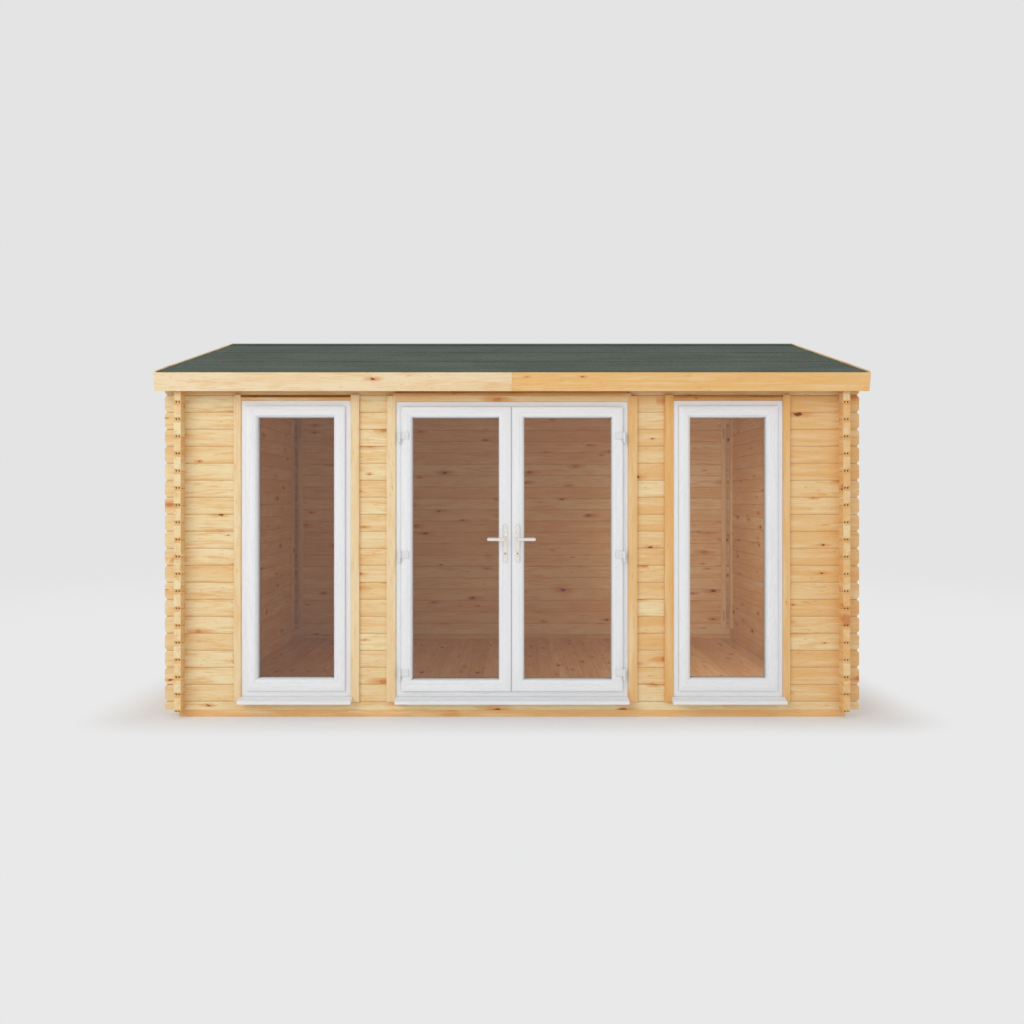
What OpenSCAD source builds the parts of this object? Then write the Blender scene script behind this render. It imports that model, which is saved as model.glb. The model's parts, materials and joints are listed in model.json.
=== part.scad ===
// Garden office pod: a log cabin with a double-pitched felt roof, glazed outward-opening double doors
// and a full-height fixed window on each side of them.
// X runs right, Y runs to the back (the doors face -Y), Z is up, and the origin is at the middle of
// the footprint, at ground level. All sizes are in millimetres.

/* [Cabin] */
// Width over the outer faces of the side walls
cabin_w = 4318; // [4250:1:6000]
// Depth over the outer faces of the front and rear walls
cabin_d = 3328; // [2400:1:5000]
// Height of the eaves, where the roof boards cross the outer face of the front wall
eaves_z = 2227; // [2205:1:2290]

/* [Logs] */
// Thickness of a wall log
log_t = 44; // [34:1:58]
// Height of one course of logs
log_h = 110; // [104:1:118]
// Length of each log end beyond the wall that it crosses
log_end = 86; // [50:1:150]
// Depth of the V joint line between two courses
joint_v = 3; // [1:0.5:6]
// Depth of the chamfers that narrow each log end at a joint
end_notch = 14; // [5:1:30]
// Height of one of those chamfers
end_chamfer = 17.5; // [8:0.5:25]
// Number of whole courses that a door or window opening is tall
opening_courses = 18; // [17:1:18]

/* [Base] */
// Height and width of a bearer
bearer = 44; // [34:1:70]
// How far each bearer's ends stop inside the walls' outer faces
bearer_inset = 3; // [0:1:10]
// Largest spacing of the floor joists
joist_pitch = 520; // [300:10:700]
// Thickness of the floor boards
floor_t = 16; // [12:1:28]

/* [Roof] */
// Roof pitch in degrees
pitch = 14; // [10:0.5:16]
// Thickness of the roof boards
roof_board_t = 19; // [14:1:28]
// Thickness of the roofing felt
felt_t = 3; // [2:0.5:6]
// Gap between the log ends and the bargeboards
verge_gap = 5; // [2:1:200]
// Run of the roof beyond the front and rear walls' outer faces, to the front of the fascia
eaves_run = 157; // [120:1:260]
// Width of a fascia board or bargeboard
fascia_h = 120; // [90:1:160]
// Thickness of a fascia board or bargeboard
fascia_t = 18; // [12:1:25]
// Height of the bargeboards' top edge above the felt
verge_rise = 5; // [0:1:15]
// Thickness of a purlin
purlin_t = 44; // [34:1:70]
// Height of the ridge purlin
ridge_purlin_h = 145; // [100:1:200]
// Height of the side purlins
side_purlin_h = 120; // [90:1:160]
// Distance from the ridge to the middle of each side purlin
side_purlin_y = 810; // [700:1:950]

/* [Doors] */
// Width over the door frame
door_w = 1500; // [1300:1:1600]
// Gap between the top of the door frame and the header log
door_top_gap = 43; // [28:1:60]
// Height of the settling notch in the header log above the doors
door_notch_h = 34; // [15:1:60]
// Gap between the two leaves at their outer faces
meeting_gap = 7; // [6:0.5:10]
// How far the meeting line lies to the left of the middle
meeting_offset = 3.5; // [0:0.5:12]
// Width of the stile at a leaf's hinged side
door_stile_w = 68; // [55:1:90]
// Width of the stile at a leaf's meeting side
meeting_stile_w = 75; // [60:1:95]
// Width of a leaf's top rail
door_top_rail = 65; // [55:1:90]
// Width of a leaf's bottom rail
door_bottom_rail = 72; // [55:1:120]

/* [Windows] */
// Distance from the middle of the front to the near side of a window frame
window_x = 1041; // [900:1:1100]
// Width over a window frame
window_w = 708; // [500:1:760]
// Gap between the top of a window frame and the header log
window_top_gap = 36; // [20:1:60]
// Width of a window sash's side members
sash_stile_w = 72; // [50:1:90]
// Width of a window sash's top member
sash_top_w = 70; // [50:1:90]
// Width of a window sash's bottom member
sash_bottom_w = 80; // [50:1:110]

/* [Frames] */
// Depth of a door or window frame, front to back
frame_d = 60; // [50:1:80]
// How far the frames stand proud of the wall
frame_proud = 8; // [0:1:14]
// Width of frame that shows around a leaf or sash
frame_face = 36; // [25:1:50]
// Width of the frame that a leaf or sash closes over
frame_lap = 9; // [5:1:15]
// Thickness of the lapped edge of a leaf or sash
lap_t = 17; // [12:1:22]
// Thickness of the sealed glass unit
glass_t = 24; // [16:1:30]
// How far the back of a leaf or sash lies inside the back of its frame
back_step = 8; // [4:1:12]
// Depth of the groove that holds the glass unit
glass_groove = 12; // [6:1:20]
// Height of a sill at the frame
sill_h = 34; // [25:1:50]
// Drop of a sill's top from the frame to its nose
sill_fall = 18; // [8:1:22]
// Reach of a sill's nose beyond the wall
sill_reach = 90; // [50:1:110]
// Height of a sill's nose
nose_h = 20; // [14:1:30]

/* [Trims] */
// Width of the door trims
door_trim_w = 59; // [40:1:80]
// Width of the window trims beside the door piers
inner_trim_w = 55; // [40:1:80]
// Width of the window trims towards the corners
outer_trim_w = 46; // [35:1:80]
// Thickness of every trim
trim_t = 18; // [12:1:25]
// Height of the fillet above a window frame
fillet_h = 21; // [12:1:30]
// Height of the door's head trim above its frame
head_trim_h = 36; // [25:1:42]
// Height of the strip above the door's head trim
head_strip_h = 17; // [10:1:30]
// Thickness of that strip
head_strip_t = 26; // [19:1:40]
// Reach of that strip beyond each side of the door frame
head_strip_reach = 17; // [5:1:40]

/* [Door hardware] */
// Diameter of a hinge barrel
barrel_d = 18; // [16:0.5:20]
// Height of a hinge barrel
barrel_h = 71; // [60:1:100]
// Height of a hinge's flag plate, at the top of its barrel
flag_h = 47; // [30:1:50]
// Width of a hinge's flag plate, from the barrel's axis
flag_w = 58; // [50:1:80]
// Thickness of a hinge's flag plate
flag_t = 7; // [4:0.5:8]
// Distance from a leaf's edge to the axis of its hinges
pivot_side = 9; // [8:0.5:12]
// Distance from a leaf's face to the axis of its hinges
pivot_reach = 11; // [10:0.5:14]
// Diameter of a hinge pin
hinge_pin_d = 10; // [6:0.5:12]
// Heights of the hinges' centres above the ground
hinge_zs = [277, 1038, 1804]; // [240:1:1900]
// Distance of the handles from the meeting edge of a leaf
handle_inset = 36; // [28:1:45]
// Height of the levers' axis above the ground
lever_z = 1148; // [900:1:1250]
// Width of a handle plate
plate_w = 31; // [24:1:40]
// Height of a handle plate
plate_h = 248; // [180:1:280]
// Distance of the levers' axis above the middle of the plate
plate_drop = 26; // [0:1:50]
// Thickness of a handle plate
plate_t = 10; // [6:0.5:14]
// Length of a lever from its axis
lever_len = 117; // [90:1:140]
// Diameter of a lever
lever_d = 18; // [12:0.5:22]
// Distance from a leaf's face to the middle of a lever
lever_reach = 48; // [35:1:60]
// Distance from a lever's axis down to the lock cylinder
lock_drop = 92; // [72:1:92]
// How far the lock cylinder stands out of the handle plate
lock_proud = 4; // [2:0.5:8]

/* [Storm braces] */
// Width of a storm brace
brace_w = 48; // [30:1:60]
// Thickness of a storm brace
brace_t = 20; // [12:1:30]
// Gap between a storm brace and the corner that it stands beside
brace_gap = 44; // [20:1:80]
// Height of the foot of a storm brace
brace_z = 166; // [100:1:400]
// Length of a storm brace
brace_len = 2000; // [1500:1:2020]
// Length of the slots in a storm brace
slot_len = 100; // [60:1:140]
// Width of those slots
slot_w = 15; // [8:1:20]
// Distance from a brace's end to the middle of its slot
slot_inset = 120; // [80:1:200]

/* [Fits] */
// Side gap between a frame and the logs
fitting_gap = 5; // [2:1:12]
// Gap that a moving leaf keeps from the frame and the other leaf
leaf_gap = 5.5; // [5:0.5:8]
// Extra room at the back of the meeting edges, for their swing
swing_room = 5; // [3:0.5:8]
// Gap between the floor boards and the walls
floor_gap = 5; // [2:1:12]
// Radial clearance of a pin in its hole
pin_gap = 0.05; // [0.02:0.01:0.1]
// Hairline left between two boards that butt
butt_gap = 0.5; // [0.2:0.1:2]
// Seat gap between a purlin and the roof boards on it
purlin_gap = 0.3; // [0.2:0.1:1]
// Gap between two hinge knuckles
knuckle_gap = 0.5; // [0.2:0.1:1]

/* [Hidden] */
$fn = 48;

// Plan
out_x = cabin_w / 2;
out_y = cabin_d / 2;
in_x = out_x - log_t;
in_y = out_y - log_t;
end_x = out_x + log_end;
end_y = out_y + log_end;
bearer_x = out_x - bearer_inset;

// Courses: the side walls start with a whole log, the front and rear walls with a half log
side_joint = bearer;
front_joint = bearer + log_h / 2;
opening_z = front_joint;
header_z = opening_z + opening_courses * log_h;
side_top_z = header_z + log_h / 2;
max_courses = 60;
slice_h = log_h / 2;

// Roof lines
roof_half = end_x + verge_gap;
fascia_y = out_y + eaves_run;
boards_top_z = eaves_z + out_y * tan(pitch) + roof_board_t / cos(pitch);
ridge_z = boards_top_z + felt_t / cos(pitch);
slope_end = fascia_y / cos(pitch);
slope_boards = slope_end - fascia_t;
above_roof = 800;

// Frames
frame_y = -out_y - frame_proud;
frame_back_y = frame_y + frame_d;
sill_z = opening_z + sill_h;
door_half = door_w / 2;
door_top_z = header_z - door_top_gap;
window_top_z = header_z - window_top_gap;
window_out_x = window_x + window_w;
nose_y = -out_y - sill_reach;
nose_lip = 12;
horn = 10;

// Leaves and sashes
leaf_y = frame_y - leaf_gap - lap_t;
leaf_back_y = frame_back_y - back_step;
leaf_out_x = door_half - frame_face;
leaf_low_z = sill_z + frame_face;
leaf_top_z = door_top_z - frame_face;
seal_step = 3;
body_inset = frame_lap + leaf_gap + seal_step;
sash_y = frame_y - lap_t;
glass_back = 14;
glass_y = frame_back_y - glass_back - glass_t;

// Hardware
pivot_y = leaf_y - pivot_reach;
pivot_x = leaf_out_x + pivot_side;
knuckle_h = barrel_h - flag_h - knuckle_gap;
post_w = 12;
collar_r = 9;
lock_w = 17;
lock_web_w = 10;
lock_body_h = 33;
plate_r = 8;

// Joints of a wall between two heights
function joints(first, z0, z1) =
    [for (k = [0:max_courses]) let (z = first + k * log_h) if (z > z0 - 0.01 && z < z1 + 0.01) z];

// One side of a log wall's outline, going up: a V of the given depth and half height at each joint
function notched_side(at, out, depth, half, z0, z1, lines) = concat(
    lines[0] > z0 ? [[at, z0]] : [],
    [for (z = lines) each concat(
        z - half > z0 ? [[at, z - half]] : [],
        [[at - out * depth, z]],
        z + half < z1 ? [[at, z + half]] : [])],
    lines[len(lines) - 1] < z1 ? [[at, z1]] : []);

function reversed(points) = [for (k = [len(points) - 1:-1:0]) points[k]];

// Point of the roof's section: a distance down the slope from the ridge and a height above the felt
function slope_point(along, above) =
    [-along * cos(pitch) - above * sin(pitch), ridge_z - along * sin(pitch) + above * cos(pitch)];

// Underside of the roof boards at a distance from the ridge
function roof_under(y) = ridge_z - (roof_board_t + felt_t) / cos(pitch) - abs(y) * tan(pitch);

// Extrudes a Y-Z outline along X from x0 to x1
module along_x(x0, x1) {
    translate([x0, 0, 0]) rotate([90, 0, 90]) linear_extrude(x1 - x0) children();
}

// Extrudes an X-Z outline along Y from y0 to y1
module along_y(y0, y1) {
    translate([0, y1, 0]) rotate([90, 0, 0]) linear_extrude(y1 - y0) children();
}

module block(x0, x1, y0, y1, z0, z1) {
    translate([x0, y0, z0]) cube([x1 - x0, y1 - y0, z1 - z0]);
}

// Repeats its children at both ends of the X axis
module mirrored_x() {
    children();
    mirror([1, 0, 0]) children();
}

// Repeats its children at both ends of the Y axis
module mirrored_y() {
    children();
    mirror([0, 1, 0]) children();
}

// Everything above the roof boards' underside
module roof_space() {
    along_x(-end_x - 1, end_x + 1) polygon([
        [-end_y - 1, roof_under(end_y + 1)],
        [0, roof_under(0)],
        [end_y + 1, roof_under(end_y + 1)],
        [end_y + 1, ridge_z + above_roof],
        [-end_y - 1, ridge_z + above_roof],
    ]);
}

// Corner slices, one log thickness square in plan, that the logs crossing this wall pass through.
// first is the crossing wall's lowest joint, and z0 to z1 the height of this wall.
module crossing_slices(first, z0, z1) {
    for (z = joints(first, z0 - log_h, z1 + log_h))
        let (low = max(z + slice_h / 2, z0 - 1), high = min(z + slice_h * 1.5, z1 + 1))
            if (high > low) mirrored_x() mirrored_y()
                block(in_x, out_x, in_y, out_y, low, high);
}

// Logs of the front or rear wall from x0 to x1, between two heights, with V joint lines and log ends.
module long_logs(x0, x1, z0, z1) {
    lines = joints(front_joint, z0, z1);
    left = x0 < -out_x ? notched_side(x0, -1, end_notch, end_chamfer, z0, z1, lines) : [[x0, z0], [x0, z1]];
    right = x1 > out_x ? notched_side(x1, 1, end_notch, end_chamfer, z0, z1, lines) : [[x1, z0], [x1, z1]];
    face = notched_side(out_y, 1, joint_v, joint_v, z0, z1, lines);
    back = notched_side(in_y, -1, joint_v, joint_v, z0, z1, lines);
    difference() {
        intersection() {
            along_y(in_y - 1, out_y + 1) polygon(concat(left, reversed(right)));
            along_x(x0 - 1, x1 + 1) polygon(concat(back, reversed(face)));
        }
        crossing_slices(side_joint - log_h, z0, z1);
    }
}

module front_logs(x0, x1, z0, z1) {
    mirror([0, 1, 0]) long_logs(x0, x1, z0, z1);
}

// Logs of the right side wall between two heights
module side_logs(z0, z1) {
    lines = joints(side_joint, z0, z1);
    front = notched_side(-end_y, -1, end_notch, end_chamfer, z0, z1, lines);
    rear = notched_side(end_y, 1, end_notch, end_chamfer, z0, z1, lines);
    face = notched_side(out_x, 1, joint_v, joint_v, z0, z1, lines);
    back = notched_side(in_x, -1, joint_v, joint_v, z0, z1, lines);
    difference() {
        intersection() {
            along_x(in_x - 1, out_x + 1) polygon(concat(front, reversed(rear)));
            along_y(-end_y - 1, end_y + 1) polygon(concat(back, reversed(face)));
        }
        crossing_slices(front_joint - log_h, z0, z1);
    }
}

module gable_logs() {
    difference() {
        side_logs(side_top_z, ridge_z);
        roof_space();
        ridge_purlin_shape();
        side_purlin_shapes();
    }
}

// Base

module front_bearer() {
    color("burlywood") block(-bearer_x, bearer_x, -out_y, -in_y, 0, bearer);
}

module rear_bearer() {
    color("burlywood") block(-bearer_x, bearer_x, in_y, out_y, 0, bearer);
}

module side_bearers() {
    color("burlywood") mirrored_x() block(bearer_x - bearer, bearer_x, -in_y, in_y, 0, bearer);
}

module floor_joists() {
    clear_x = bearer_x - bearer;
    bays = ceil(2 * in_y / joist_pitch);
    color("burlywood") for (k = [1:bays - 1])
        let (y = -in_y + 2 * in_y * k / bays)
            block(-clear_x, clear_x, y - bearer / 2, y + bearer / 2, 0, bearer);
}

module floor_boards() {
    color("wheat") block(-in_x + floor_gap, in_x - floor_gap, -in_y + floor_gap, in_y - floor_gap,
                         bearer, bearer + floor_t);
}

// Walls

module front_bottom_log() {
    color("burlywood") front_logs(-end_x, end_x, bearer, opening_z);
}

module front_wall_right() {
    color("tan") front_logs(window_out_x + fitting_gap, end_x, opening_z, header_z);
}

module front_wall_left() {
    color("burlywood") front_logs(-end_x, -window_out_x - fitting_gap, opening_z, header_z);
}

module front_pier_right() {
    color("tan") front_logs(door_half + fitting_gap, window_x - fitting_gap, opening_z, header_z);
}

module front_pier_left() {
    color("burlywood") front_logs(-window_x + fitting_gap, -door_half - fitting_gap, opening_z, header_z);
}

module front_header_logs() {
    notch_x = door_half + fitting_gap;
    color("burlywood") difference() {
        front_logs(-end_x, end_x, header_z, ridge_z);
        roof_space();
        block(-notch_x, notch_x, -out_y - 1, -in_y + 1, header_z - 1, header_z + door_notch_h);
    }
}

module rear_wall() {
    color("burlywood") difference() {
        long_logs(-end_x, end_x, bearer, ridge_z);
        roof_space();
    }
}

module right_wall() {
    color("tan") side_logs(side_joint, side_top_z);
}

module left_wall() {
    color("burlywood") mirror([1, 0, 0]) side_logs(side_joint, side_top_z);
}

module right_gable() {
    color("tan") gable_logs();
}

module left_gable() {
    color("burlywood") mirror([1, 0, 0]) gable_logs();
}

// Roof

// A purlin's section, its top cut to the underside of the roof boards
module purlin_section(y, height) {
    y0 = y - purlin_t / 2;
    y1 = y + purlin_t / 2;
    low = roof_under(y) - height;
    top0 = roof_under(y0) - purlin_gap;
    top1 = roof_under(y1) - purlin_gap;
    polygon(concat([[y0, low], [y1, low], [y1, top1]], y == 0 ? [[0, roof_under(0) - purlin_gap]] : [],
                   [[y0, top0]]));
}

module ridge_purlin_shape() {
    along_x(-roof_half, roof_half) purlin_section(0, ridge_purlin_h);
}

module side_purlin_shapes() {
    mirrored_y() along_x(-roof_half, roof_half) purlin_section(side_purlin_y, side_purlin_h);
}

module ridge_purlin() {
    color("wheat") ridge_purlin_shape();
}

module side_purlins() {
    color("wheat") side_purlin_shapes();
}

// A layer of the front slope between two heights below the felt's top, cut plumb at the ridge
module slope_layer(top, bottom, along, x) {
    along_x(-x, x) polygon([
        [0, ridge_z - top / cos(pitch)],
        slope_point(along, -top),
        slope_point(along, -bottom),
        [0, ridge_z - bottom / cos(pitch)],
    ]);
}

module front_roof_boards() {
    color("wheat") slope_layer(felt_t, felt_t + roof_board_t, slope_boards, roof_half);
}

module rear_roof_boards() {
    color("wheat") mirror([0, 1, 0]) slope_layer(felt_t, felt_t + roof_board_t, slope_boards, roof_half);
}

module front_roof_felt() {
    color("darkseagreen") slope_layer(0, felt_t, slope_end, roof_half);
}

module rear_roof_felt() {
    color("darkseagreen") mirror([0, 1, 0]) slope_layer(0, felt_t, slope_end, roof_half);
}

// One length of the front fascia, square to the slope, from x0 to x1
module fascia_length(x0, x1) {
    along_x(x0, x1) polygon([
        slope_point(slope_boards, -felt_t),
        slope_point(slope_end, -felt_t),
        slope_point(slope_end, -felt_t - fascia_h),
        slope_point(slope_boards, -felt_t - fascia_h),
    ]);
}

module front_fascia_left() {
    color("wheat") fascia_length(-roof_half - fascia_t, -butt_gap / 2);
}

module front_fascia_right() {
    color("burlywood") fascia_length(butt_gap / 2, roof_half + fascia_t);
}

module rear_fascias() {
    color("wheat") mirror([0, 1, 0]) {
        fascia_length(-roof_half - fascia_t, -butt_gap / 2);
        fascia_length(butt_gap / 2, roof_half + fascia_t);
    }
}

// The right bargeboards: one on each slope, with a plumb cut at the ridge
module bargeboard_pair() {
    low = fascia_h - verge_rise;
    slope_cut = butt_gap / 2 * tan(pitch);
    mirrored_y() along_x(roof_half, roof_half + fascia_t) polygon([
        [-butt_gap / 2, ridge_z + verge_rise / cos(pitch) - slope_cut],
        slope_point(slope_boards, verge_rise),
        slope_point(slope_boards, -low),
        [-butt_gap / 2, ridge_z - low / cos(pitch) - slope_cut],
    ]);
}

module right_bargeboards() {
    color("burlywood") bargeboard_pair();
}

module left_bargeboards() {
    color("wheat") mirror([1, 0, 0]) bargeboard_pair();
}

// Windows

// A rectangular ring between outer and inner X-Z limits
module ring(x0, x1, z0, z1, left, right, low, top, y0, y1) {
    difference() {
        block(x0, x1, y0, y1, z0, z1);
        block(x0 + left, x1 - right, y0 - 1, y1 + 1, z0 + low, z1 - top);
    }
}

module window_frame_ring() {
    rim = frame_face + frame_lap;
    ring(window_x, window_out_x, sill_z, window_top_z, rim, rim, rim, rim, frame_y, frame_back_y);
}

// Limits of the window sash
sash_x0 = window_x + frame_face;
sash_x1 = window_out_x - frame_face;
sash_z0 = sill_z + frame_face;
sash_z1 = window_top_z - frame_face;

// The glass unit's solid: the sight size grown by the groove's depth
module glass_unit(x0, x1, z0, z1, back_y) {
    block(x0 - glass_groove, x1 + glass_groove, back_y - glass_t, back_y,
          z0 - glass_groove, z1 + glass_groove);
}

module window_glass_unit() {
    glass_unit(sash_x0 + sash_stile_w, sash_x1 - sash_stile_w, sash_z0 + sash_bottom_w,
               sash_z1 - sash_top_w, glass_y + glass_t);
}

module window_sash_ring() {
    difference() {
        union() {
            ring(sash_x0, sash_x1, sash_z0, sash_z1, sash_stile_w, sash_stile_w, sash_bottom_w,
                 sash_top_w, sash_y, frame_y);
            ring(sash_x0 + frame_lap, sash_x1 - frame_lap, sash_z0 + frame_lap, sash_z1 - frame_lap,
                 sash_stile_w - frame_lap, sash_stile_w - frame_lap, sash_bottom_w - frame_lap,
                 sash_top_w - frame_lap, frame_y, leaf_back_y);
        }
        window_glass_unit();
    }
}

module right_window_frame() {
    color("white") window_frame_ring();
}

module left_window_frame() {
    color("white") mirror([1, 0, 0]) window_frame_ring();
}

module right_window_sash() {
    color("whitesmoke") window_sash_ring();
}

module left_window_sash() {
    color("whitesmoke") mirror([1, 0, 0]) window_sash_ring();
}

module right_window_glass() {
    color("lightblue", 0.4) window_glass_unit();
}

module left_window_glass() {
    color("lightblue", 0.4) mirror([1, 0, 0]) window_glass_unit();
}

// A sill from x0 to x1: level under the frame, then falling to a nose that widens past the trims
module sill(x0, x1, spread) {
    nose_top_z = sill_z - sill_fall;
    trim_y = -out_y - trim_t;
    fall_at_trim = sill_fall * (frame_y - trim_y) / (frame_y - nose_y);
    along_x(x0, x1) polygon([
        [frame_back_y, opening_z], [frame_back_y, sill_z], [frame_y, sill_z],
        [trim_y, sill_z - fall_at_trim], [trim_y, opening_z],
    ]);
    along_x(x0 - spread, x1 + spread) polygon([
        [trim_y, opening_z], [trim_y, sill_z - fall_at_trim], [nose_y, nose_top_z],
        [nose_y, nose_top_z - nose_h], [nose_y + nose_lip, nose_top_z - nose_h],
        [nose_y + nose_lip, opening_z],
    ]);
}

module window_sills() {
    color("gainsboro") mirrored_x() sill(window_x, window_out_x, horn);
}

module window_trims() {
    color("wheat") mirrored_x() difference() {
        block(window_x - inner_trim_w, window_out_x + outer_trim_w, -out_y - trim_t, -out_y,
              opening_z, header_z);
        block(window_x, window_out_x, -out_y - trim_t - 1, -out_y + 1, opening_z - 1, window_top_z);
        block(window_x, window_out_x, -out_y - trim_t - 1, -out_y + 1, window_top_z + fillet_h,
              header_z + 1);
    }
}

// Doors

module door_frame() {
    rim = frame_face + frame_lap;
    color("white") ring(-door_half, door_half, sill_z, door_top_z, rim, rim, rim, rim, frame_y,
                        frame_back_y);
}

module door_sill() {
    color("gainsboro") sill(-door_half, door_half, 0);
}

module door_trim() {
    trim_x = door_half + door_trim_w;
    trim_top_z = door_top_z + head_trim_h;
    strip_x = door_half + head_strip_reach;
    color("wheat") {
        difference() {
            block(-trim_x, trim_x, -out_y - trim_t, -out_y, opening_z, trim_top_z);
            block(-door_half, door_half, -out_y - trim_t - 1, -out_y + 1, opening_z - 1, door_top_z);
        }
        block(-strip_x, strip_x, -out_y - head_strip_t, -out_y, trim_top_z, trim_top_z + head_strip_h);
    }
}

// Meeting edge of the right leaf: the left leaf's is one meeting gap further left
right_meet_x = -meeting_offset + meeting_gap / 2;
left_meet_x = -meeting_offset - meeting_gap / 2;

// Limits of a leaf's glass. meet is the leaf's meeting edge, in the right leaf's own direction.
function leaf_glass_limits(meet) =
    [meet + meeting_stile_w, leaf_out_x - door_stile_w, leaf_low_z + door_bottom_rail,
     leaf_top_z - door_top_rail];

module leaf_glass_unit(meet) {
    limits = leaf_glass_limits(meet);
    glass_unit(limits[0], limits[1], limits[2], limits[3], glass_y + glass_t);
}

// A leaf, hinged on the right: a lapped front over a narrower body, with the glass groove
module leaf(meet) {
    limits = leaf_glass_limits(meet);
    body_x0 = meet + swing_room;
    body_x1 = leaf_out_x - body_inset;
    body_z0 = leaf_low_z + body_inset;
    body_z1 = leaf_top_z - body_inset;
    lap_y = leaf_y + lap_t;
    difference() {
        union() {
            ring(meet, leaf_out_x, leaf_low_z, leaf_top_z, limits[0] - meet, door_stile_w,
                 door_bottom_rail, door_top_rail, leaf_y, lap_y);
            ring(body_x0, body_x1, body_z0, body_z1, limits[0] - body_x0, body_x1 - limits[1],
                 limits[2] - body_z0, body_z1 - limits[3], lap_y, leaf_back_y);
        }
        leaf_glass_unit(meet);
        translate([meet + handle_inset, 0, lever_z]) spindle_hole(leaf_y - 1, leaf_back_y + 1);
        lock_hole(meet);
    }
}

module spindle_hole(y0, y1) {
    translate([0, y1, 0]) rotate([90, 0, 0]) cylinder(r = collar_r + pin_gap, h = y1 - y0);
}

// A lock cylinder's outline: a round barrel over a narrower web
module lock_outline() {
    circle(d = lock_w);
    translate([-lock_web_w / 2, lock_w / 2 - lock_body_h]) square([lock_web_w, lock_body_h - lock_w / 2]);
}

module lock_shape(meet, y0, y1) {
    translate([meet + handle_inset, 0, lever_z - lock_drop]) along_y(y0, y1) lock_outline();
}

module lock_hole(meet) {
    lock_shape(meet, leaf_y - plate_t - 1, leaf_back_y + plate_t + 1);
}

module lock_cylinder(meet) {
    lock_shape(meet, leaf_y - plate_t - lock_proud, leaf_back_y + plate_t + lock_proud);
}

// Outer and inner handle plates of a leaf, with the spindle and lock holes
module handle_plates(meet) {
    difference() {
        for (y = [leaf_y - plate_t, leaf_back_y])
            translate([meet + handle_inset, 0, lever_z - plate_drop]) along_y(y, y + plate_t) plate_outline();
        translate([meet + handle_inset, 0, lever_z])
            spindle_hole(leaf_y - plate_t - 1, leaf_back_y + plate_t + 1);
        lock_hole(meet);
    }
}

module plate_outline() {
    square([plate_w - 2 * plate_r, plate_h], center = true);
    square([plate_w, plate_h - 2 * plate_r], center = true);
    for (x = [-1, 1], z = [-1, 1])
        translate([x * (plate_w / 2 - plate_r), z * (plate_h / 2 - plate_r)]) circle(r = plate_r);
}

// A pair of levers on one spindle, pointing towards the hinges
module lever(meet) {
    outer_y = leaf_y - lever_reach;
    inner_y = leaf_back_y + lever_reach;
    translate([meet + handle_inset, 0, lever_z]) {
        translate([0, inner_y, 0]) rotate([90, 0, 0]) cylinder(r = collar_r, h = inner_y - outer_y);
        for (y = [outer_y, inner_y]) translate([0, y, 0]) {
            sphere(d = lever_d);
            rotate([0, 90, 0]) cylinder(d = lever_d, h = lever_len - lever_d / 2);
            translate([lever_len - lever_d / 2, 0, 0]) sphere(d = lever_d);
        }
    }
}

// The leaf's half of each hinge: a flag plate on the leaf's face and the upper knuckle of the barrel
module leaf_hinges() {
    for (z = hinge_zs) translate([pivot_x, pivot_y, z + barrel_h / 2 - flag_h]) difference() {
        union() {
            cylinder(d = barrel_d, h = flag_h);
            block(-flag_w, 0, pivot_reach - flag_t, pivot_reach, 0, flag_h);
        }
        translate([0, 0, -1]) cylinder(r = hinge_pin_d / 2 + pin_gap, h = flag_h + 2);
    }
}

// The frame's half of each hinge: the lower knuckle on a post from the frame's face, and the pin
module frame_hinge_set() {
    post_x = barrel_d / 2 - post_w;
    for (z = hinge_zs) translate([pivot_x, pivot_y, z - barrel_h / 2]) {
        cylinder(d = hinge_pin_d, h = barrel_h);
        cylinder(d = barrel_d, h = knuckle_h);
        block(post_x, post_x + post_w, 0, frame_y - pivot_y, 0, knuckle_h);
    }
}

module door_frame_hinges() {
    color("white") mirrored_x() frame_hinge_set();
}

module right_door_leaf() {
    color("whitesmoke") leaf(right_meet_x);
}

module left_door_leaf() {
    color("whitesmoke") mirror([1, 0, 0]) leaf(-left_meet_x);
}

module right_door_glass() {
    color("lightblue", 0.4) leaf_glass_unit(right_meet_x);
}

module left_door_glass() {
    color("lightblue", 0.4) mirror([1, 0, 0]) leaf_glass_unit(-left_meet_x);
}

module right_door_hinges() {
    color("white") leaf_hinges();
}

module left_door_hinges() {
    color("white") mirror([1, 0, 0]) leaf_hinges();
}

module right_handle_plates() {
    color("silver") handle_plates(right_meet_x);
}

module left_handle_plates() {
    color("silver") mirror([1, 0, 0]) handle_plates(-left_meet_x);
}

module right_lock_cylinder() {
    color("gold") lock_cylinder(right_meet_x);
}

module left_lock_cylinder() {
    color("gold") mirror([1, 0, 0]) lock_cylinder(-left_meet_x);
}

module right_lever() {
    color("silver") lever(right_meet_x);
}

module left_lever() {
    color("silver") mirror([1, 0, 0]) lever(-left_meet_x);
}

// One storm brace against a wall's inner face at the origin, standing towards -Y
module brace() {
    slot_straight = slot_len - slot_w;
    difference() {
        block(-brace_w, 0, -brace_t, 0, brace_z, brace_z + brace_len);
        for (z = [brace_z + slot_inset, brace_z + brace_len - slot_inset])
            translate([-brace_w / 2, 0, z]) along_y(-brace_t - 1, 1) {
                square([slot_w, slot_straight], center = true);
                for (end = [-1, 1]) translate([0, end * slot_straight / 2]) circle(d = slot_w);
            }
    }
}

// Storm braces: two slotted battens in each corner of the room
module storm_braces() {
    color("wheat") mirrored_x() mirrored_y() {
        translate([in_x - brace_gap, in_y, 0]) brace();
        translate([in_x, in_y - brace_gap, 0]) mirror([1, -1, 0]) brace();
    }
}

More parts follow.
